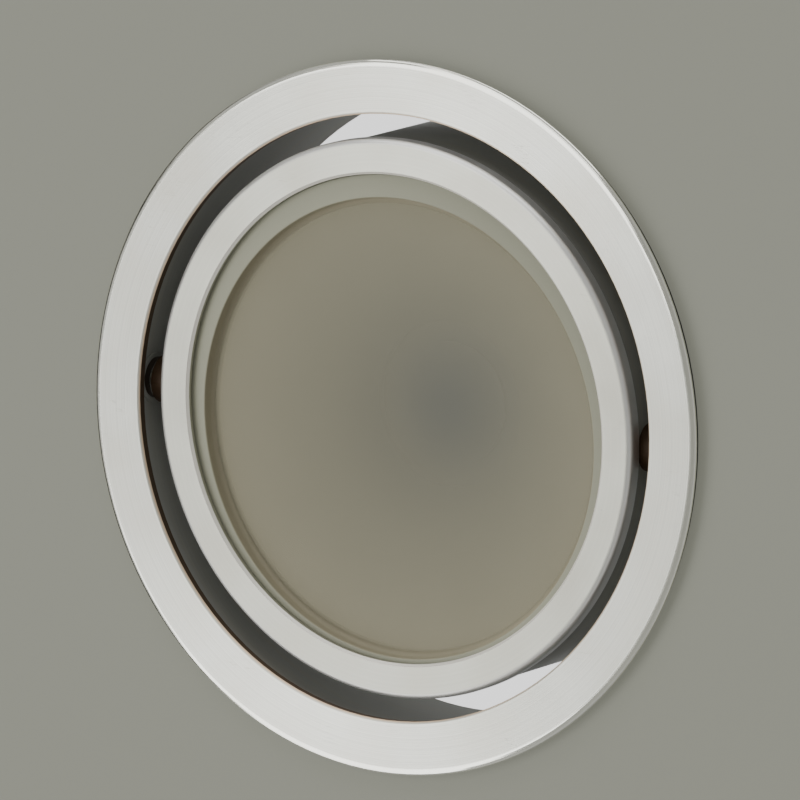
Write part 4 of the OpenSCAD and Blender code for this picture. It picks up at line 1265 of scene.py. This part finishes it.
def lever_bead(name, sizes, side):
    """A long stiffening bead pressed up in the flat of a clip lever"""
    length, width, height = 15.0 * MM, 5.0 * MM, 0.55 * MM
    middle, level, sunk = 24.0 * MM, 1.56 * MM, 0.3 * MM
    along, across = 48, 16
    fullness = 0.8  # under 1, the bead keeps its height farther out
    shape = bmesh.new()
    rows = []
    for line in range(along + 1):
        ahead = 2 * line / along - 1
        row = []
        for point in range(across + 1):
            aside = 2 * point / across - 1
            past = max(0.0, abs(ahead) - (1 - width / length)) * length / width
            out = min(1.0, math.hypot(past, aside))
            rise = height * (0.5 + 0.5 * math.cos(math.pi * out)) ** fullness
            row.append(shape.verts.new((middle + ahead * length / 2, aside * width / 2, level + rise)))
        rows.append(row)
    for first, second in zip(rows, rows[1:]):
        for point in range(across):
            shape.faces.new((first[point], second[point], second[point + 1], first[point + 1]))
    # once round the edge of the grid: a wall down into the lever, and a floor that closes it
    rim = rows[0][:-1] + [row[-1] for row in rows[:-1]] + rows[-1][:0:-1] + [row[0] for row in rows[:0:-1]]
    lower = [shape.verts.new(corner.co - Vector((0.0, 0.0, sunk))) for corner in rim]
    for place in range(len(rim)):
        shape.faces.new((rim[place - 1], rim[place], lower[place], lower[place - 1]))
    shape.faces.new(lower)
    bmesh.ops.transform(shape, matrix=Matrix.Rotation(sizes.lever_droop, 4, "Y"), verts=shape.verts)
    bmesh.ops.translate(shape, verts=shape.verts, vec=(sizes.clip_x, 0.0, sizes.clip_z))
    if side < 0:
        bmesh.ops.transform(shape, matrix=Matrix.Rotation(math.pi, 4, "Z"), verts=shape.verts)
    for face in shape.faces:
        face.smooth = len(face.verts) == 4
    mesh = bpy.data.meshes.new(name)
    shape.to_mesh(mesh)
    shape.free()
    mesh.materials.append(FINISHES["Zinc Plate"])
    return closed_piece(name, mesh)


class DOWNLIGHT_OT_fittings(Operator):
    """Adds the marks of mould and die, the ribs of the gland nut and the beads of the clip levers"""

    bl_idname = "downlight.fittings"
    bl_label = "Small Fittings"

    def execute(self, context):
        sizes = context.scene.downlight_sizes
        marks = ring_of_marks()
        standing = {"Tilt": sizes.head_tilt, "Pivot": sizes.pivot_height}
        # how many, radius of their circle, first angle, radius and level of the marks, in mm and degrees
        for name, finish, slot, count, ring, first, radius, level in (
            ("sink_ejector_marks", "Cast Aluminium", "cast_sink", 12, 31.0, 7.5, 1.5, 30.0),
            ("case_ejector_marks", "Housing Plastic", "case_plastic", 4, 19.0, 45.0, 1.8, 67.0),
        ):
            piece = grown(
                name, marks, finish,
                Count=count, Ring_Radius=ring * MM, First_Angle=math.radians(first),
                Mark_Radius=radius * MM, Mark_Height=0.16 * MM, Level=level * MM, **standing,
            )
            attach(piece, "head")
        ribs = grown(
            "gland_nut_ribs", grip_ribs(), "Black Nylon", Level=73.2 * MM, Rib_Length=3.6 * MM, **standing
        )
        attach(ribs, "head")
        for side, letter in ((1, "a"), (-1, "b")):
            bead = lever_bead("lever_bead_" + letter, sizes, side)
            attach(bead, "clip_" + letter)
        return {"FINISHED"}


# ---------------------------------------------------------------- stage


def plain_surface(name, colour, glow=0.0):
    """A plain pale finish, part of it lit by itself, that is only there when seen from its front"""
    tree, shader = finish_of(name)
    feed_all(
        tree, shader,
        Base_Color=shade(colour[:3], 1.0 - glow), Roughness=0.75,
        Emission_Color=colour, Emission_Strength=glow,
    )
    surface = shader.outputs["BSDF"].links[0].to_socket
    mix = add(tree, "ShaderNodeMixShader")
    wire(tree, add(tree, "ShaderNodeNewGeometry").outputs["Backfacing"], mix.inputs[0])
    wire(tree, shader.outputs["BSDF"], mix.inputs[1])
    wire(tree, add(tree, "ShaderNodeBsdfTransparent").outputs[0], mix.inputs[2])
    wire(tree, mix.outputs[0], surface)
    return FINISHES[name]


def plain_sheet(name, half, height):
    """A square floor that looks up"""
    corners = [(-half, -half, height), (half, -half, height), (half, half, height), (-half, half, height)]
    mesh = bpy.data.meshes.new(name)
    mesh.from_pydata(corners, [], [(0, 1, 2, 3)])
    return in_scene(name, mesh)


def holed_panel(name, half, hole, height):
    """A square sheet with a round hole at the fixture's axis"""
    shape = bmesh.new()
    count = 128
    inner, outer = [], []
    for place in range(count):
        turn = 2 * math.pi * place / count
        x, y = math.cos(turn), math.sin(turn)
        inner.append(shape.verts.new((hole * x, hole * y, height)))
        reach = half / max(abs(x), abs(y))
        outer.append(shape.verts.new((reach * x, reach * y, height)))
    for place in range(count):
        other = (place + 1) % count
        shape.faces.new((inner[other], outer[other], outer[place], inner[place]))
    mesh = bpy.data.meshes.new(name)
    shape.to_mesh(mesh)
    shape.free()
    return in_scene(name, mesh)


def square_to(direction, axis):
    """A direction made square to an axis, of length 1"""
    return (direction - axis * direction.dot(axis)).normalized()


def looking(place, up, back):
    """The matrix of a light or camera at a place, with its up direction and the one behind it"""
    return Matrix.Translation(place) @ Matrix((up.cross(back), up, back)).transposed().to_4x4()


def softbox(name, place, target, width, height, radiance, colour, along):
    """A rectangular soft light that looks at a point, its long side along a given direction"""
    data = bpy.data.lights.new(name, "AREA")
    data.shape = "RECTANGLE"
    data.size = width
    data.size_y = height
    data.energy = radiance * width * height * math.pi
    data.color = colour
    made = in_scene(name, data)
    back = (Vector(place) - Vector(target)).normalized()
    made.matrix_world = looking(place, square_to(Vector(along), back), back)
    made.visible_camera = False


def surroundings(scene):
    """A quiet studio: pale above and below, dark to the left of the fixture and beside the camera"""
    world = bpy.data.worlds.new("Quiet Studio")
    scene.world = world
    world.use_nodes = True
    tree = world.node_tree
    tree.nodes.clear()
    output = add(tree, "ShaderNodeOutputWorld")
    light = add(tree, "ShaderNodeBackground")
    place = add(tree, "ShaderNodeTexCoord")
    toward = place.outputs["Generated"]
    parts = add(tree, "ShaderNodeSeparateXYZ")
    wire(tree, toward, parts.inputs[0])
    floor_to_roof = number(tree, "MULTIPLY_ADD", parts.outputs["Z"], 0.5, 0.5)
    stops = ((0.0, 0.42), (0.3, 0.36), (0.5, 0.3), (0.55, 0.45), (0.8, 0.85), (1.0, 0.9))
    sky = ramp_of(tree, floor_to_roof, stops, tint=(1.0, 1.0, 0.98))
    # a bright card below, two dark screens beside the fixture, a bright card in the roof space
    for direction, from_cosine, to_cosine, tone in (
        ((-0.1, 0.6, -0.79), 0.88, 0.97, (2.3, 2.3, 2.25)),
        ((-0.97, 0.1, -0.2), 0.84, 0.92, (0.012, 0.011, 0.01)),
        ((0.8, -0.15, -0.58), 0.82, 0.92, (0.012, 0.011, 0.01)),
        ((-0.543, 0.158, 0.825), 0.93, 0.98, (1.5, 1.5, 1.5)),
    ):
        aim = add(tree, "ShaderNodeVectorMath", operation="DOT_PRODUCT")
        wire(tree, toward, aim.inputs[0])
        aim.inputs[1].default_value = Vector(direction).normalized()
        sky = blend_colour(tree, span(tree, aim.outputs["Value"], from_cosine, to_cosine), sky, tone)
    wire(tree, sky, light.inputs["Color"])
    wire(tree, light.outputs[0], output.inputs["Surface"])
    light.inputs["Strength"].default_value = 1.0


class DOWNLIGHT_OT_stage(Operator):
    """Sets up the pale soffit panel, the floor, the soft lights and the camera"""

    bl_idname = "downlight.stage"
    bl_label = "Stage"

    def execute(self, context):
        scene = context.scene
        stage = scene.downlight_stage
        colours = scene.downlight_finishes
        panel = holed_panel("soffit_panel", half=2.0, hole=stage.cutout_radius, height=-0.02 * MM)
        panel.data.materials.append(plain_surface("Pale Soffit", colours.soffit, glow=0.5))
        floor = plain_sheet("floor", half=6.0, height=-2.4)
        floor.data.materials.append(plain_surface("Pale Floor", (0.6, 0.6, 0.58)))
        surroundings(scene)
        # the camera of the photo: below the soffit, to the right of the fixture
        to_camera = Vector((0.54325, -0.15809, -0.82455)).normalized()
        right = square_to(Vector((0.8314, -0.03534, 0.55454)), to_camera)
        up = to_camera.cross(right)
        trim_face = Vector((0.0, 0.0, -2.3 * MM))
        aim = trim_face + right * (1.495 * MM) + up * (2.843 * MM)
        middle = (0.0, 0.0, 0.0)
        mirror = Vector((-to_camera.x, -to_camera.y, to_camera.z))
        softbox(
            "Key", mirror * 1.6, middle, width=1.0, height=2.9,
            radiance=stage.key_strength, colour=(1.0, 1.0, 0.985), along=(-0.42, 0.91, 0.0),
        )
        softbox(
            "Strip", (-0.25, -1.35, -0.6), middle, width=0.7, height=1.7,
            radiance=stage.strip_strength, colour=(1.0, 0.985, 0.96), along=(1.0, 0.0, 0.0),
        )
        data = bpy.data.cameras.new("Camera")
        data.sensor_width = 36.0
        data.lens = stage.lens
        data.clip_start = 0.1
        data.clip_end = 50.0
        camera = in_scene("Camera", data)
        camera.matrix_world = looking(aim + to_camera * stage.camera_distance, up, to_camera)
        scene.camera = camera
        return {"FINISHED"}


# ---------------------------------------------------------------- panel and registration


class DOWNLIGHT_PT_panel(Panel):
    """Lists what the downlight is made of"""

    bl_idname = "DOWNLIGHT_PT_panel"
    bl_label = "Soffit Downlight"
    bl_space_type = "VIEW_3D"
    bl_region_type = "UI"
    bl_category = "Downlight"

    def draw(self, context):
        column = self.layout.column(align=True)
        for operator in OPERATORS:
            column.operator(operator.bl_idname)
        for key in GROUPS:
            group = getattr(context.scene, key)
            box = self.layout.box()
            for name in group.__annotations__:
                box.prop(group, name)


GROUPS = {
    "downlight_sizes": DownlightSizes,
    "downlight_finishes": DownlightFinishes,
    "downlight_stage": DownlightStage,
}
OPERATORS = (
    DOWNLIGHT_OT_finishes,
    DOWNLIGHT_OT_turned,
    DOWNLIGHT_OT_springs,
    DOWNLIGHT_OT_fittings,
    DOWNLIGHT_OT_stage,
)


def register():
    """Makes the groups of properties, the operators and the panel known"""
    for group in GROUPS.values():
        bpy.utils.register_class(group)
    for name, group in GROUPS.items():
        setattr(bpy.types.Scene, name, PointerProperty(type=group))
    for operator in OPERATORS:
        bpy.utils.register_class(operator)
    bpy.utils.register_class(DOWNLIGHT_PT_panel)


def unregister():
    """Takes them out again"""
    bpy.utils.unregister_class(DOWNLIGHT_PT_panel)
    for operator in reversed(OPERATORS):
        bpy.utils.unregister_class(operator)
    for name in GROUPS:
        delattr(bpy.types.Scene, name)
    for group in reversed(list(GROUPS.values())):
        bpy.utils.unregister_class(group)


def main():
    """Builds every piece in order"""
    register()
    bpy.ops.downlight.finishes()
    bpy.ops.downlight.turned()
    bpy.ops.downlight.springs()
    bpy.ops.downlight.fittings()
    bpy.ops.downlight.stage()


if __name__ == "__main__":
    main()
